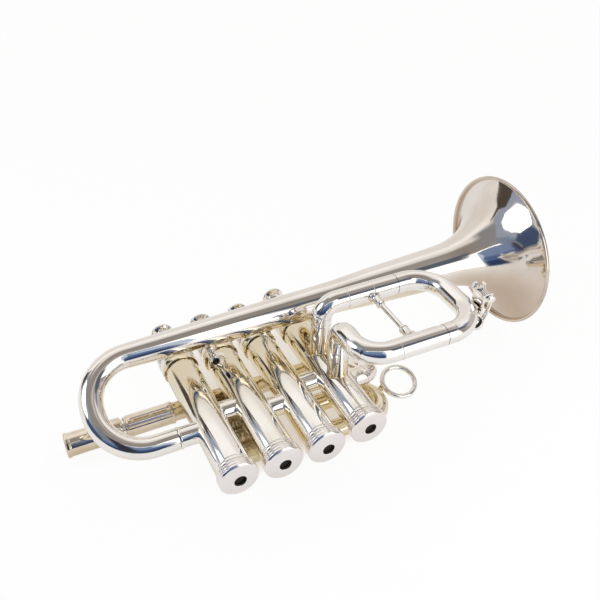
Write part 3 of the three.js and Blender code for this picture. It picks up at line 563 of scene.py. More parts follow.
def bottom_cap(i):
    base = at(VALVE_X[i], 0, VALVE_Z[i])
    r = CAP_R
    profile = rounded([
        (1.3, 3.25), (0.1, 3.25), (0.0, 3.6), (0.25, 6.2), (0.75, 8.6), (1.25, 9.8), (1.9, r), (3.0, r),
        (3.1, r - 0.12), (3.3, r - 0.12), (3.4, r), (4.7, r), (4.8, r - 0.12), (5.0, r - 0.12), (5.1, r),
        (5.8, r), (6.1, r - 0.75), (7.1, r - 0.75), (7.1, 8.3), (11.0, 8.3), (11.0, 7.5), (2.2, 7.5),
        (1.3, 3.25)], 0.16, 3)[:-1]
    verts, faces = lathe(profile, base, Y, 128, closed=True)
    mesh(f"cap_{i + 1}", verts, faces, "instrument", CAP_PLATE, "silver_plate", [f"bottom_cap_{i + 1}"])
    # A dark disc inside the cap's hole paints the shade in it.
    hole = lathe([(1.9, 0), (1.9, 3.4), (2.1, 3.4), (2.1, 0)], base, Y, 48)
    mesh(f"cap_{i + 1}_dark_inside", *hole, "instrument", CORK_AND_HOLE_SHADE, "cork")


def top_cap(i):
    base = at(VALVE_X[i], 0, VALVE_Z[i])
    low = CASING_TOP + 0.3
    profile = rounded([
        (low - 4, 7.5), (low - 4, 8.3), (low, 8.3), (low, 9.8), (low + 3.2, 9.8), (low + 3.4, 10.3),
        (low + 8.2, 10.3), (low + 8.9, 9.6), (low + 9.3, 7.0), (low + 9.6, 5.2), (low + 9.6, 2.9),
        (low + 8, 2.9), (low + 7, 7.5), (low - 4, 7.5)], 0.18, 3)[:-1]
    around = 192

    def knurl(height, k):
        return -0.22 * abs(math.sin(math.pi * k / 3)) if low + 3.7 < height < low + 8.0 else 0.0

    extra = []
    for a, b in zip(profile, profile[1:] + profile[:1]):
        extra.append(a)
        if abs(a[1] - b[1]) < 0.01 and abs(b[0] - a[0]) > 3 and a[1] > 10:
            extra += [(low + 3.72, a[1]), (low + 4.0, a[1]), (low + 7.7, a[1]), (low + 7.98, a[1])]
    verts, faces = lathe(extra, base, Y, around, closed=True, wobble=knurl)
    mesh(f"upper_cap_{i + 1}", verts, faces, "instrument", PLATE, "silver_plate", [f"top_cap_{i + 1}"])
    felt = rounded([(100.1, 2.8), (100.1, 5.4), (101.7, 5.2), (101.7, 2.8), (100.1, 2.8)], 0.3, 3)[:-1]
    mesh(f"felt_{i + 1}", *lathe(felt, base, Y, 48, closed=True), "instrument", FELT, "felt",
         [f"button_felt_{i + 1}"])


def valve(i):
    base = at(VALVE_X[i], 0, VALVE_Z[i])
    body = f"valve_{i + 1}"
    stem = rounded([(84.0, 0), (84.3, 4.6), (85.4, 4.6), (85.6, 2.5), (120.0, 2.5), (120.2, 0)], 0.2, 3)
    mesh(f"stem_{i + 1}", *lathe(stem, base, Y, 48), body, MONEL, "piston_alloy")
    button = rounded([
        (120.3, 0), (120.3, 3.5), (120.5, 4.2), (121.1, 4.3), (121.9, 5.6), (122.4, 6.7), (123.0, 6.8),
        (123.6, 6.7), (123.9, 6.2), (124.2, 6.0), (125.2, 5.0), (125.8, 3.2), (126.0, 0)], 0.25, 3)
    mesh(f"button_{i + 1}", *lathe(button, base, Y, 72), body, BRIGHT, "bright_silver_plate",
         [f"finger_button_{i + 1}"])


def coil(i, radius=4.6, wire=0.45, curls=5, steps=24, around=10):
    """A valve's spring, which has a mesh of its own."""
    low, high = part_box(f"valve_spring_{i + 1}")
    foot = (low[1] - ORIGIN.y) / MM + wire
    length = (high[1] - low[1]) / MM - 2 * wire
    verts, faces = [], []
    for k in range(curls * steps + 1):
        turned = 2 * math.pi * k / steps
        out = at(math.cos(turned), 0, math.sin(turned))
        middle = at(VALVE_X[i], foot + length * k / (curls * steps), VALVE_Z[i]) + out * radius
        for j in range(around):
            a = 2 * math.pi * j / around
            verts.append(middle + out * (wire * math.cos(a)) + Y * (wire * math.sin(a)))
    for k in range(curls * steps):
        for j in range(around):
            a, b = k * around + j, k * around + (j + 1) % around
            faces.append((a, b, b + around, a + around))
    faces += [tuple(range(around))[::-1], tuple(range(len(verts) - around, len(verts)))]
    obj = mesh(f"valve_coil_{i + 1}", verts, faces, "instrument", STEEL, "spring_steel",
               [f"valve_spring_{i + 1}"])
    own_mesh(obj)


for i in range(4):
    casing(i)
    bottom_cap(i)
    top_cap(i)
    valve(i)
    refinish(f"piston_{i + 1}", MONEL)
    coil(i)

for i, height in enumerate(KNUCKLE_Y):
    z = (VALVE_Z[i] + VALVE_Z[i + 1]) / 2
    run = Path([at(VALVE_X[i], height, z), at(VALVE_X[i + 1], height, z)], 0)
    shape = pipe(run, plain(5.55, 24), plain(4.9, 24), 48, (i, i + 1), 0.2)
    mesh(f"knuckle_{i + 1}", *shape, "instrument", VALVE_PLATE, "silver_plate", [f"knuckle_{i + 1}_{i + 2}"])

# ---------------------------------------------------------------- bell
FLARE = [
    (0, 6.6), (30.2, 7.4), (60.2, 8.25), (90.2, 8.8), (120.2, 9.35), (150.2, 11.1), (172, 12.0), (182, 12.45),
    (193, 13.0), (201, 13.7), (207, 14.9), (212.2, 16.4), (218.2, 19.3), (223.2, 22.6), (228.2, 27.0),
    (233.2, 32.8), (237.2, 39.2), (240.6, 46.2)]


def smooth_through(points, steps=6):
    """Points of a smooth curve through the given ones, without overshoot."""
    xs, ys = [p[0] for p in points], [p[1] for p in points]
    n = len(points)
    slope = [(ys[k + 1] - ys[k]) / (xs[k + 1] - xs[k]) for k in range(n - 1)]
    tangent = [slope[0]] + [0.0] * (n - 2) + [slope[-1] * 1.25]
    for k in range(1, n - 1):
        a, b = slope[k - 1], slope[k]
        tangent[k] = 2 * a * b / (a + b) if a * b > 0 else 0.0
    out = []
    for k in range(n - 1):
        h = xs[k + 1] - xs[k]
        for j in range(steps):
            s = j / steps
            y = ((1 + 2 * s) * (1 - s) ** 2 * ys[k] + s * (1 - s) ** 2 * h * tangent[k]
                 + s * s * (3 - 2 * s) * ys[k + 1] + s * s * (s - 1) * h * tangent[k + 1])
            out.append((xs[k] + h * s, y))
    out.append(points[-1])
    return out


# The flare's inner face lies one wall's thickness inside the outer one
curve = smooth_through(FLARE)
inside = []
for k, (x, r) in enumerate(curve):
    a, b = curve[max(0, k - 1)], curve[min(len(curve) - 1, k + 1)]
    lean = Vector((b[0] - a[0], b[1] - a[1])).normalized()
    inside.append((x + lean.y * BELL_WALL, r - lean.x * BELL_WALL))
inside = [(max(0.0, x), r) for x, r in inside]
base = at(BELL_TAIL, BELL_Y, BELL_Z)
shape = lathe(curve + inside[::-1], base, X, 160, closed=True)
mesh("bell_flare", *shape, "instrument", BELL_PLATE, "silver_plate", ["bell"], smooth=50)
angles = [2 * math.pi * k / 24 for k in range(24)]
bead = [(1.3 * math.cos(a) - 0.75, 46.1 + 0.95 * math.sin(a)) for a in angles]
mesh("bell_bead", *lathe(bead, at(BELL_MOUTH, BELL_Y, BELL_Z), X, 200, closed=True), "instrument", RIM_PLATE,
     "bright_silver_plate", ["bell_rim_wire"])

# Crook: one tapering tube from the bell's tail down to valve 1
crook = Path([at(-30.0, BELL_Y, BELL_Z), at(CROOK_X, BELL_Y, BELL_Z), at(CROOK_X, PORT_Y, 0),
              at(-18.6, PORT_Y, 0)], CROOK_BEND)
L = crook.length
outer = [(0, 6.6), (L * 0.25, 6.4), (L * 0.5, 6.15), (L * 0.75, 5.85), (L - 0.5, 5.65), (L, 5.6)]
inner = [(0.1, 6.0), (L - 0.1, 5.1)]
mesh("crook", *pipe(crook, outer, inner, 56), "instrument", PLATE, "silver_plate", ["bell_crook"], smooth=50)

port = Path([at(-PORT_END, PORT_Y, 0), at(0, PORT_Y, 0)], 0)
outer = [(0, 5.62), (0.12, 5.75), (0.35, 5.9), (0.9, 5.9), (1.15, 5.75), (1.2, 5.5), (PORT_END, 5.5)]
mesh("port_tube", *pipe(port, outer, [(0.1, 5.0), (PORT_END, 5.0)], 56, (None, 0), 0.25), "instrument", PLATE,
     "silver_plate", ["bell_port"])

# ---------------------------------------------------------------- large loop
def loop_leg(name, corners, bends, seams):
    """A tube of the large loop from valve 4, with a groove at each seam."""
    run = Path([at(x, y, z) for x, y, z in corners], bends)
    places = [s if s > 0 else run.length + s for s in seams]
    outer = plain(LOOP_R, run.length, 0, [(s, SEAM_WIDTH, SEAM_DEPTH) for s in places])
    shape = pipe(run, outer, plain(LOOP_BORE, run.length), 56, (3, None))
    mesh(f"loop_{name}", *shape, "instrument", LEG_PLATE, "silver_plate", [f"slide_4_{name}_leg"])


LOOP_X, LOOP_FOOT_Z = VALVE_X[3], VALVE_Z[3]
# A seam below zero is measured from the far end
loop_leg("upper", ((LOOP_X, LOOP_TOP_Y, LOOP_FOOT_Z), (LOOP_X, LOOP_TOP_Y, LOOP_Z),
                   (LOOP_JOINT_X, LOOP_TOP_Y, LOOP_Z)), 9.0, (-53.2, -47.8, -31.0, -15.4))
loop_leg("lower", ((LOOP_X, LOOP_FOOT_Y, LOOP_FOOT_Z), (LOOP_X, LOOP_FOOT_Y, LOOP_Z),
                   (LOOP_X, LOOP_LOW_Y, LOOP_Z), (LOOP_JOINT_X, LOOP_LOW_Y, LOOP_Z)),
         [8.0, 14.5], (19.0, 25.0, -27.3))

bow = Path([at(LOOP_JOINT_X + 0.3, LOOP_TOP_Y, LOOP_Z), at(LOOP_END_X, LOOP_TOP_Y, LOOP_Z),
            at(LOOP_END_X, LOOP_LOW_Y, LOOP_Z), at(LOOP_JOINT_X + 0.3, LOOP_LOW_Y, LOOP_Z)], LOOP_BEND)
L = bow.length
outer = plain(LOOP_R, L, 0, [(5.2, 0.6, -0.3), (L - 5.7, 0.6, -0.3)])
tubes = [Path([at(103.3, y, LOOP_Z), at(120.3, y, LOOP_Z)], 0) for y in (LOOP_TOP_Y, LOOP_LOW_Y)]
parts = [pipe(bow, outer, plain(LOOP_BORE, L), 56)]
parts += [pipe(run, [(0, 4.6), (0.3, 4.85), (17, 4.85)], [(0, 4.3), (17, 4.3)], 40) for run in tubes]
NIPPLE_TILT = math.radians(51)
NIPPLE_WAY = at(math.cos(NIPPLE_TILT), 0, -math.sin(NIPPLE_TILT))
BOW_X = LOOP_END_X - (LOOP_BEND - math.sqrt(LOOP_BEND ** 2 - 6.6 ** 2))
NIPPLE_FOOT = at(BOW_X, 21, LOOP_Z)
parts.append(lathe(rounded([
    (5.0, 1.5), (5.0, 4.0), (5.9, 3.8), (6.6, 3.0), (8.0, 2.6), (10.2, 2.5), (10.6, 2.9), (11.2, 2.9),
    (11.4, 2.6), (11.4, 1.5), (5.0, 1.5)], 0.2, 3)[:-1], NIPPLE_FOOT, NIPPLE_WAY, 48, closed=True))
mesh("loop_bow", *together(*parts), "slide_4", LOOP_PLATE, "silver_plate", ["slide_4_bow"])

# Turned brace of the loop
low, high = 15.4, 52.3
profile = [(low, 0), (low, 3.5), (low + 0.8, 3.4), (low + 1.7, 2.5), (low + 2.4, 2.35), (low + 6.2, 2.3),
           (low + 6.5, 2.6), (low + 7.3, 2.6), (low + 7.7, 1.9), (low + 8.6, 1.5)]
profile += [(high - (h - low), r) for h, r in profile[::-1]]
mesh("loop_brace", *lathe(rounded(profile, 0.3, 3), at(101, 0, LOOP_Z), Y, 56), "instrument", BRIGHT,
     "bright_silver_plate", ["slide_4_brace"])

# ---------------------------------------------------------------- water key
PIVOT = at(150.4, 21, 51.3)
plate = slab(at(146.7, 21.9, PIVOT.z - 4.5), (1.3, 9.3, 12.6), 0, 0.35)
ears = [slab(at(149.4, y, PIVOT.z), (6.6, 1.1, 4.6), 0, 0.4) for y in (18.1, 25.2)]
mesh("key_saddle", *together(plate, *ears), "slide_4", PLATE, "silver_plate", ["water_key_saddle"])
low, high = -3.9, 6.3


def ball(end, way):
    shape = [(end - way * 0.5, 1.0), (end, 1.0), (end + way * 0.2, 1.9)]
    turns = (0.7, 1.1, 1.5, 1.9, 2.3, 2.7)
    shape += [(end + way * (2.5 - 2.1 * math.cos(a)), 0.3 + 2.1 * math.sin(a)) for a in turns]
    return shape + [(end + way * 4.65, 0)]


head = [(low - 1.9, 0), (low - 1.9, 1.5), (low - 1.6, 2.1), (low - 0.2, 2.1), (low, 1.0), (low + 0.5, 1.0)]
pin = head + ball(high, 1)
mesh("key_pin", *lathe(pin, PIVOT, Y, 40), "slide_4", BRIGHT, "bright_silver_plate", ["water_key_pin"])
refinish("water_key_spring", STEEL)

barrel = lathe(rounded([(-1.95, 1.45), (-1.95, 2.2), (-1.2, 2.2), (-1.0, 2.0), (1.0, 2.0), (1.2, 2.2),
                        (1.95, 2.2), (1.95, 1.45), (-1.95, 1.45)], 0.2, 3)[:-1], PIVOT, Y, 40, closed=True)
cork_base = NIPPLE_FOOT + NIPPLE_WAY * 11.7
cup_base = cork_base + NIPPLE_WAY * 2.2
cup = lathe(rounded([(-0.9, 3.3), (-0.9, 3.85), (1.0, 3.9), (1.7, 3.0), (2.2, 1.4), (2.3, 0), (0.15, 0),
                     (0.0, 3.3)], 0.25, 3)[1:-1] + [(0.15, 0)], cup_base, NIPPLE_WAY, 48)


def strap(points, width, thick, around=16):
    """A rounded strap along points in a plane square to Y."""
    verts, faces, rows = [], [], []
    n = len(points)
    for k, p in enumerate(points):
        way = (points[min(n - 1, k + 1)] - points[max(0, k - 1)]).normalized()
        side = way.cross(Y).normalized()
        taper = 1 - 0.25 * math.sin(math.pi * k / (n - 1))
        row = []
        for j in range(around):
            a = 2 * math.pi * j / around
            c, s = math.cos(a), math.sin(a)
            u = math.copysign(abs(c) ** 0.6, c) * width * taper / 2
            v = math.copysign(abs(s) ** 0.8, s) * thick / 2
            row.append(len(verts))
            verts.append(p + Y * u + side * v)
        rows.append(row)
    for low_row, high_row in zip(rows, rows[1:]):
        for j in range(around):
            m = (j + 1) % around
            faces.append((low_row[j], low_row[m], high_row[m], high_row[j]))
    faces += [tuple(rows[0][::-1]), tuple(rows[-1])]
    return verts, faces


def bezier(a, b, c, d, steps=16):
    out = []
    for k in range(steps + 1):
        s = k / steps
        out.append(a * (1 - s) ** 3 + b * 3 * s * (1 - s) ** 2 + c * 3 * s * s * (1 - s) + d * s ** 3)
    return out


start = PIVOT + at(2.0, 0, 0.3)
end = cup_base + NIPPLE_WAY * 2.0
arm = strap(bezier(start, start + at(4.6, 0, -2.0), end + at(5.2, 0, 4.5), end), 3.2, 1.3)
touch = strap(bezier(PIVOT + at(-0.6, 0, 1.6), PIVOT + at(-1.6, 0, 4), PIVOT + at(-2.4, 0, 6),
                     PIVOT + at(-2.6, 0, 8.4)), 3.4, 1.1)
mesh("key_lever", *together(barrel, arm, touch, cup), "water_key", BRIGHT, "silver_plate",
     ["water_key_lever"])
cork = rounded([(0, 0), (0, 3.0), (1.9, 3.1), (1.9, 0)], 0.3, 3)
mesh("key_cork", *lathe(cork, cork_base, NIPPLE_WAY, 40), "water_key", CORK_AND_HOLE_SHADE, "cork", ["water_key_cork"])


# ---------------------------------------------------------------- small slides
def small_slide(number, valve_index, heights, leg_end, bow_end, bend, engage, material):
    x = VALVE_X[valve_index]
    way = 1 if leg_end > x else -1
    for height, name in zip(heights, ("upper", "lower")):
        leg = Path([at(x, height, 0), at(x, height, SMALL_Z), at(leg_end, height, SMALL_Z)], 6.0)
        outer = plain(SMALL_R, leg.length, 0, [(leg.length - 1.6, 1.4, 0.4)])
        shape = pipe(leg, outer, plain(SMALL_BORE, leg.length), 40, (valve_index, None), 0.5)
        mesh(f"slide_{number}_{name}", *shape, "instrument", material, "silver_plate",
             [f"slide_{number}_{name}_leg"])
    start = leg_end + way * 0.3
    run = Path([at(start, heights[0], SMALL_Z), at(bow_end, heights[0], SMALL_Z),
                at(bow_end, heights[1], SMALL_Z), at(start, heights[1], SMALL_Z)], bend)
    outer = plain(SMALL_R, run.length, 0, [(0.05, 1.4, 0.4), (run.length - 1.5, 1.4, 0.4)])
    shapes = [pipe(run, outer, plain(SMALL_BORE, run.length), 44)]
    for height in heights:
        inner = Path([at(start - way * engage, height, SMALL_Z), at(start + way * 2.6, height, SMALL_Z)], 0)
        shapes.append(pipe(inner, [(0, 4.5), (inner.length, 4.5)], [(0, 4.05), (inner.length, 4.05)], 36))
    mesh(f"slide_{number}_bend", *together(*shapes), f"slide_{number}", material, "silver_plate",
         [f"slide_{number}_bow"])


small_slide(1, 0, (62.3, 51.3), 16, 16.3 + 3 + 5.5, 5.5, 9, SLIDE_PLATE)
small_slide(2, 1, (40, 28), 13, 12.7 - 3 - 6, 6, 4.4, SLIDE_PLATE)
small_slide(3, 2, (47, 25), 78, 97.5, 10.5, 14, BOW_PLATE)

ring_spot = at(113, 38, -11)
tilt = Matrix.Rotation(math.radians(18.5), 3, "X")
band = hoop(9.6, 1.45, at(0, 0, 0), Z, 144, 20)
band = ([ring_spot + tilt @ v for v in band[0]], band[1])
foot_top, foot_end = ring_spot - X * 9.6, at(97.5, 38, SMALL_Z)
foot_way = (foot_top - foot_end).normalized()
foot_low = foot_end + foot_way * 5.45
foot = slab(foot_low.lerp(foot_top, 0.5), ((foot_top - foot_low).length + 1.2, 4.2, 2.2),
            -math.atan2(foot_way.z, foot_way.x), 0.6)
mesh("finger_hoop", *together(band, foot), "slide_3", BRIGHT, "bright_silver_plate", ["finger_ring"])

# ---------------------------------------------------------------- leadpipe
lead = at(0, LEAD_Y, LEAD_Z)
receiver = rounded([
    (0.25, 4.9), (0, 5.3), (0, 6.4), (0.3, 6.85), (1.6, 6.9), (2.1, 6.6), (2.6, 6.45), (29.4, 6.4),
    (30.4, 6.1), (30.6, 5.8), (30.6, 5.05), (22, 5.05), (22, 4.3), (0.25, 4.9)], 0.15, 3)[:-1]
mesh("receiver", *lathe(receiver, lead + X * -70.6, X, 72, closed=True), "leadpipe", GOLD, "silver_plate",
     ["mouthpiece_receiver"])
run = Path([lead + X * -48.3, lead + X * 34], 0)
mesh("lead_inner", *pipe(run, [(0, 4.65), (82.3, 4.65)], [(0, 4.2), (82.3, 4.2)], 48), "leadpipe", BRIGHT,
     "bright_silver_plate", ["leadpipe_inner"])
sleeve = rounded([
    (0, 5.05), (0, 5.4), (0.3, 5.6), (1.2, 5.6), (1.6, 6.1), (25.2, 6.1), (25.5, 6.3), (27.3, 6.3),
    (27.6, 6.1), (27.6, 5.4), (118.6, 5.4), (118.6, 5.05), (0, 5.05)], 0.15, 3)[:-1]
rod = rounded([(0, 0), (0, 0.7), (0.2, 0.9), (20.0, 0.9), (20.4, 1.3), (21.2, 1.6), (22.4, 1.6), (23.4, 1.2),
               (24.0, 0)], 0.3, 3)
rod_spot = lead + at(-35.6, -2.5, 7.4)
feet = [slab(rod_spot + at(s, 0, -1.0), (2.0, 1.2, 1.6), 0, 0.3) for s in (1.2, 11.5)]
mesh("lead_sleeve", *together(lathe(sleeve, lead + X * -38.6, X, 72, closed=True),
                              lathe(rod, rod_spot, X, 32), *feet), "instrument", GOLD, "silver_plate",
     ["leadpipe_sleeve"])
front = Path([lead + X * 80.3, lead + X * 94.8, at(94.8, LEAD_FOOT_Y, VALVE_Z[3]),
              at(VALVE_X[3], LEAD_FOOT_Y, VALVE_Z[3])], 9.5)
outer = plain(5.4, front.length, 0, [(0.05, 2.4, 0.5), (front.length - 17.5, 1.6, 0.3)])
mesh("lead_bend", *pipe(front, outer, plain(4.9, front.length), 48, (None, 3), 0.6), "instrument", PLATE,
     "silver_plate", ["leadpipe_front_bow"])

# ---------------------------------------------------------------- bell braces
for i, (x, valve_index, top) in enumerate(((15.6, 1, BELL_Z - 7.9), (48, 2, BELL_Z - 8.75))):
    z = VALVE_Z[valve_index]
    profile = rounded([(0, 0), (0, 1.8), (top - 3.2, 1.8), (top - 2.8, 2.6), (top - 2.2, 2.6),
                       (top - 1.9, 2.0), (top - 1.4, 2.0), (top - 0.9, 3.4), (top + 0.5, 3.4),
                       (top + 0.7, 0)], 0.2, 3)
    hit = math.sqrt(max(0.0, 9.0 ** 2 - (x - VALVE_X[valve_index]) ** 2))
    profile = [(max(h, hit), r) for h, r in profile]
    shapes = [lathe(profile, at(x, 80, z), Z, 40)]
    if i == 0:
        socket = rounded([(0, 2.0), (0, 2.9), (0.8, 3.1), (1.4, 2.8), (6.5, 2.8), (6.5, 2.0), (0, 2.0)], 0.2,
                         3)[:-1]
        shapes += [lathe(socket, at(x, 72.5, z + 13.0), Y, 40, closed=True),
                   slab(at(x + 3.2, 77.0, z + 12.2), (7.5, 5.0, 1.1), 0.25, 0.3)]
        # A dark disc inside the socket paints the shade in it.
        mesh("socket_dark_inside", *lathe([(1.6, 0), (1.6, 2.1), (2.0, 2.1), (2.0, 0)],
                                          at(x, 72.5, z + 13.0), Y, 32), "instrument", CORK_AND_HOLE_SHADE, "cork")
    mesh(f"brace_{i + 1}", *together(*shapes), "instrument", BRIGHT, "silver_plate", [f"bell_brace_{i + 1}"])

# ---------------------------------------------------------------- floor
FLOOR_COLOUR, FLOOR_HALF, FLOOR_DROP = (0.93, 0.925, 0.92), 2.2, 0.0002
GLOW, GLOW_OPEN, GLOW_SHADED, GLOW_GLOSSY = 1.06, 0.87, 0.55, 0.55
SHADE_COLOUR = (1.0, 0.93, 0.84)
# Among the valves the floor's shadow is painted: there it glows less, tinted warm as a painted bounce light.
# SHADE_EDGES: an axis, where it is lit, where it is shaded
SHADE_EDGES = (("X", 2, 14), ("X", 84, 74), ("Y", 16, 28), ("Y", 140, 112))

floor_mat, t = nodes_of("studio_floor")
out = put(t, "ShaderNodeOutputMaterial")
paint = put(t, "ShaderNodeBsdfDiffuse")
feed(t, paint.inputs["Color"], FLOOR_COLOUR)
rays = put(t, "ShaderNodeLightPath")
axes = split(t, put(t, "ShaderNodeNewGeometry").outputs["Position"])
zeros = dict(zip("XYZ", ORIGIN))
shade = within(t, [(axes[axis], zeros[axis] + start * MM, zeros[axis] + end * MM)
                   for axis, start, end in SHADE_EDGES])
kept = spread(t, shade, 0.0, 1.0, GLOW_OPEN, GLOW_SHADED, "LINEAR")
glow = put(t, "ShaderNodeEmission", in_Strength=GLOW)
feed(t, glow.inputs["Color"], mixed(t, shade, WHITE, SHADE_COLOUR))
camera_share = maths(t, "MULTIPLY", rays.outputs["Is Camera Ray"], kept)
glossy_share = maths(t, "MULTIPLY", rays.outputs["Is Glossy Ray"], GLOW_GLOSSY)
blend = put(t, "ShaderNodeMixShader")
for socket, source in zip(blend.inputs, (maths(t, "ADD", camera_share, glossy_share),
                                         paint.outputs[0], glow.outputs[0])):
    t.links.new(source, socket)
t.links.new(blend.outputs[0], out.inputs["Surface"])


def staged(name, points, material):
    """One flat face of the studio, which isn't part of the object."""
    data = bpy.data.meshes.new(name)
    data.from_pydata(points, [], [tuple(range(len(points)))])
    data.materials.append(material)
    obj = bpy.data.objects.new(name, data)
    bpy.context.scene.collection.objects.link(obj)
    return obj


corners = ((-1, -1), (1, -1), (1, 1), (-1, 1))
staged("floor", [(x * FLOOR_HALF, y * FLOOR_HALF, -FLOOR_DROP) for x, y in corners], floor_mat)

# ---------------------------------------------------------------- what a mirror sees far away
world = bpy.data.worlds.new("studio")
bpy.context.scene.world = world
world.use_nodes = True
t = world.node_tree
t.nodes.clear()
out = put(t, "ShaderNodeOutputWorld")
sky = put(t, "ShaderNodeBackground", in_Strength=1.0)
t.links.new(sky.outputs[0], out.inputs["Surface"])
view = put(t, "ShaderNodeTexCoord").outputs["Generated"]


def compass(degrees, height):
    """The direction at an angle from +Y towards +X, and a height above the floor, in degrees."""
    a, h = math.radians(degrees), math.radians(height)
    return Vector((math.sin(a) * math.cos(h), math.cos(a) * math.cos(h), math.sin(h)))


def along(direction):
    node = put(t, "ShaderNodeVectorMath", operation="DOT_PRODUCT")
    node.inputs[1].default_value = direction
    t.links.new(view, node.inputs[0])
    return node.outputs["Value"]


CARD_FRONT = (0.05, 0.25)  # a card fades out towards the directions square to it


def card(under, degrees, height, wide, tall, soft, colour):
    """A soft-edged rectangle of light or dark, half wide by half tall degrees, in one direction."""
    ahead = compass(degrees, height)
    across = compass(degrees + 90, 0)
    blur = math.sin(math.radians(soft))
    edges = [(along(ahead), *CARD_FRONT)]
    for way, half in ((across, wide), (across.cross(ahead), tall)):
        edge = math.sin(math.radians(half))
        edges.append((maths(t, "ABSOLUTE", along(way)), edge + blur, edge - blur))
    return mixed(t, within(t, edges), under, colour)


# A pale wall ahead, a dim room behind the camera, and dark gaps round the softboxes
PALE_WALL = (0.77, 0.735, 0.70)
DIM_ROOM, DIM_WAY, DIM_EDGES = (0.31, 0.28, 0.25), (180, 15), (0.0, 0.2)
CARDS = (
    (180, 75, 33, 17, 4, (0.27, 0.245, 0.225)),
    (-76, 54, 26, 17, 6, (0.25, 0.25, 0.26)),
    (12, 54, 44, 9, 7, (0.96, 0.94, 0.91)),
    (92, 22, 24, 34, 12, (0.5, 0.46, 0.44)),
    (84, 46, 18, 10, 6, (0.90, 0.87, 0.84)),
    (108, 36, 10, 8, 5, (0.2, 0.22, 0.3)),
    (-140, 24, 42, 20, 8, (0.19, 0.24, 0.34)),
    (-137, 3, 46, 9, 4, (0.05, 0.08, 0.17)),
)
look = mixed(t, spread(t, along(compass(*DIM_WAY)), *DIM_EDGES), PALE_WALL, DIM_ROOM)
for measures in CARDS:
    look = card(look, *measures)
t.links.new(look, sky.inputs["Color"])


# ---------------------------------------------------------------- what a mirror sees close by
def panel(name, points, colour, blur=0.0, near=False):
    """A flat light or screen that shows only in reflections. Its edges across two axes may be soft.
    One that is near lights nothing else."""
    mat, tree = nodes_of(name)
    out = put(tree, "ShaderNodeOutputMaterial")
    lamp = put(tree, "ShaderNodeEmission", in_Strength=1.0)
    feed(tree, lamp.inputs["Color"], colour)
    surface = lamp.outputs[0]
    if blur:
        axes = split(tree, put(tree, "ShaderNodeNewGeometry").outputs["Position"])
        edges = []
        for k in range(3):
            low, high = min(q[k] for q in points), max(q[k] for q in points)
            if high - low >= blur:
                edges += [(axes[k], low, low + blur), (axes[k], high, high - blur)]
        blend = put(tree, "ShaderNodeMixShader")
        clear = put(tree, "ShaderNodeBsdfTransparent")
        for socket, source in zip(blend.inputs, (within(tree, edges), clear.outputs[0], surface)):
            tree.links.new(source, socket)
        surface = blend.outputs[0]
    tree.links.new(surface, out.inputs["Surface"])
    obj = staged(name, points, mat)
    obj.visible_camera = False
    obj.visible_diffuse = not near
    obj.visible_shadow = not near


def behind(x0, x1, z0, z1, y):
    """A rectangle on the camera's side, facing along Y."""
    return [(x0, y, z0), (x1, y, z0), (x1, y, z1), (x0, y, z1)]


def beside(y0, y1, z0, z1, x):
    """A rectangle on the left, facing along X."""
    return [(x, y0, z0), (x, y1, z0), (x, y1, z1), (x, y0, z1)]


# The eight-sided softbox that shows in the bell, with dark things round it. From here on, metres.
OCTA_SPOT, OCTA_RADIUS, OCTA_AIM = Vector((-0.62, 0.17, 0.40)), 0.235, Vector((0.05, 0.0, 0.05))
turn = (OCTA_AIM - OCTA_SPOT).to_track_quat("Z", "Y")
corners = [math.radians(22.5 + 45 * k) for k in range(8)]
panel("octagon", [OCTA_SPOT + turn @ Vector((math.cos(a), math.sin(a), 0)) * OCTA_RADIUS for a in corners],
      (1.7, 1.7, 1.68))
STAND_X = -0.78
STAND = ((0.70, 0.02), (1.19, 0.02), (1.19, 0.34), (0.97, 0.62), (0.93, 1.15), (0.86, 1.15), (0.81, 0.70),
         (0.62, 0.50), (0.70, 0.32))
panel("grey_screen", beside(-0.25, 0.86, 0.12, 1.12, -0.80), (0.30, 0.34, 0.42), 0.10)
panel("brown_stand", [(STAND_X, y, z) for y, z in STAND], (0.075, 0.06, 0.05))
panel("dark_corner", beside(-0.48, 0.15, 0.0, 0.46, -0.79), (0.055, 0.08, 0.155), 0.09)
panel("blue_corner", beside(-1.1, -0.38, 0.0, 0.5, -0.795), (0.13, 0.16, 0.23), 0.09)

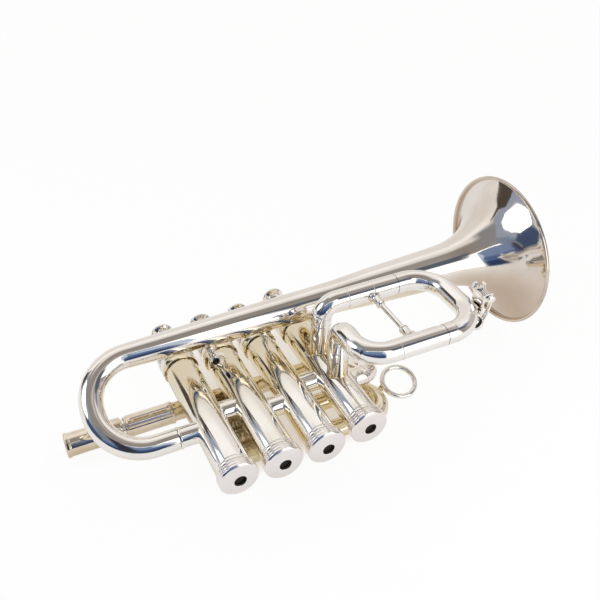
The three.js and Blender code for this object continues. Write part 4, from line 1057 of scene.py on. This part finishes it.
# The square softbox behind the camera, and the dark beside and below it. Each lies just before the last.
BACK_Y = -0.36
SOFT_WHITE = (1.5, 1.5, 1.5)
LIP = ((0.01, 0.495), (-0.14, 0.56), (-0.30, 0.59), (-0.60, 0.57), (-0.60, 0.65), (-0.30, 0.635),
       (-0.14, 0.60), (0.01, 0.54))
EDGE = ((0.0, 0.11), (0.0, 0.43), (-0.05, 0.43), (-0.058, 0.30), (-0.022, 0.19), (-0.008, 0.11))
panel("softbox", behind(-0.12, 0.34, 0.02, 0.55, BACK_Y), SOFT_WHITE, 0.012)
panel("softbox_lip", [(x, BACK_Y + 0.002, z) for x, z in LIP], SOFT_WHITE)
panel("softbox_shade", behind(0.10, 0.75, 0.33, 0.85, BACK_Y + 0.003), (0.10, 0.115, 0.15), 0.08)
panel("softbox_edge", [(x, BACK_Y + 0.014, z) for x, z in EDGE], (0.46, 0.54, 0.68))
panel("blue_screen", behind(-0.66, 0.0, 0.0, 0.53, BACK_Y + 0.004), (0.18, 0.24, 0.38), 0.03)
panel("mid_screen", behind(-0.66, 0.002, 0.0, 0.27, BACK_Y + 0.008), (0.075, 0.125, 0.26), 0.06)
panel("dark_screen", behind(-0.66, 0.004, 0.0, 0.15, BACK_Y + 0.012), (0.03, 0.05, 0.12), 0.04)

# Small cards close to the crook, which the rest of the instrument hardly sees. CROOK_CARD is in millimetres.
CROOK_CARD = ((-54, 26, 111.7), (-5, 26, 100), (-5, 48, 100), (-54, 48, 111.7))
panel("crook_card", [ORIGIN + at(*corner) * MM for corner in CROOK_CARD], (0.70, 0.655, 0.62), 0.008, True)
panel("near_grey", behind(-0.27, -0.155, 0.10, 0.25, -0.104), (0.19, 0.21, 0.235), 0.02, True)
panel("near_dark", behind(-0.178, -0.118, 0.03, 0.19, -0.10), (0.035, 0.036, 0.05), 0.015, True)

# ---------------------------------------------------------------- camera, fitted to the photograph
CAMERA = at(-87.43, -239.59, 303.00)
RIGHT = at(0.90105, -0.43355, 0.01156)
DOWN = at(-0.25388, -0.54887, -0.79642)
LOOK = at(0.35163, 0.71468, -0.60463)
FOCAL_PX, FRAME_PX, SENSOR = 797.42, 600, 36
cam = bpy.data.cameras.new("camera")
cam.sensor_width = SENSOR
cam.lens = SENSOR * FOCAL_PX / FRAME_PX
cam.clip_start = 0.01
camera = bpy.data.objects.new("camera", cam)
bpy.context.scene.collection.objects.link(camera)
turn = Matrix((RIGHT, -DOWN, -LOOK)).transposed().to_4x4()
camera.matrix_world = Matrix.Translation(ORIGIN + CAMERA * MM) @ turn
bpy.context.scene.camera = camera
bpy.context.scene.view_settings.view_transform = "Standard"
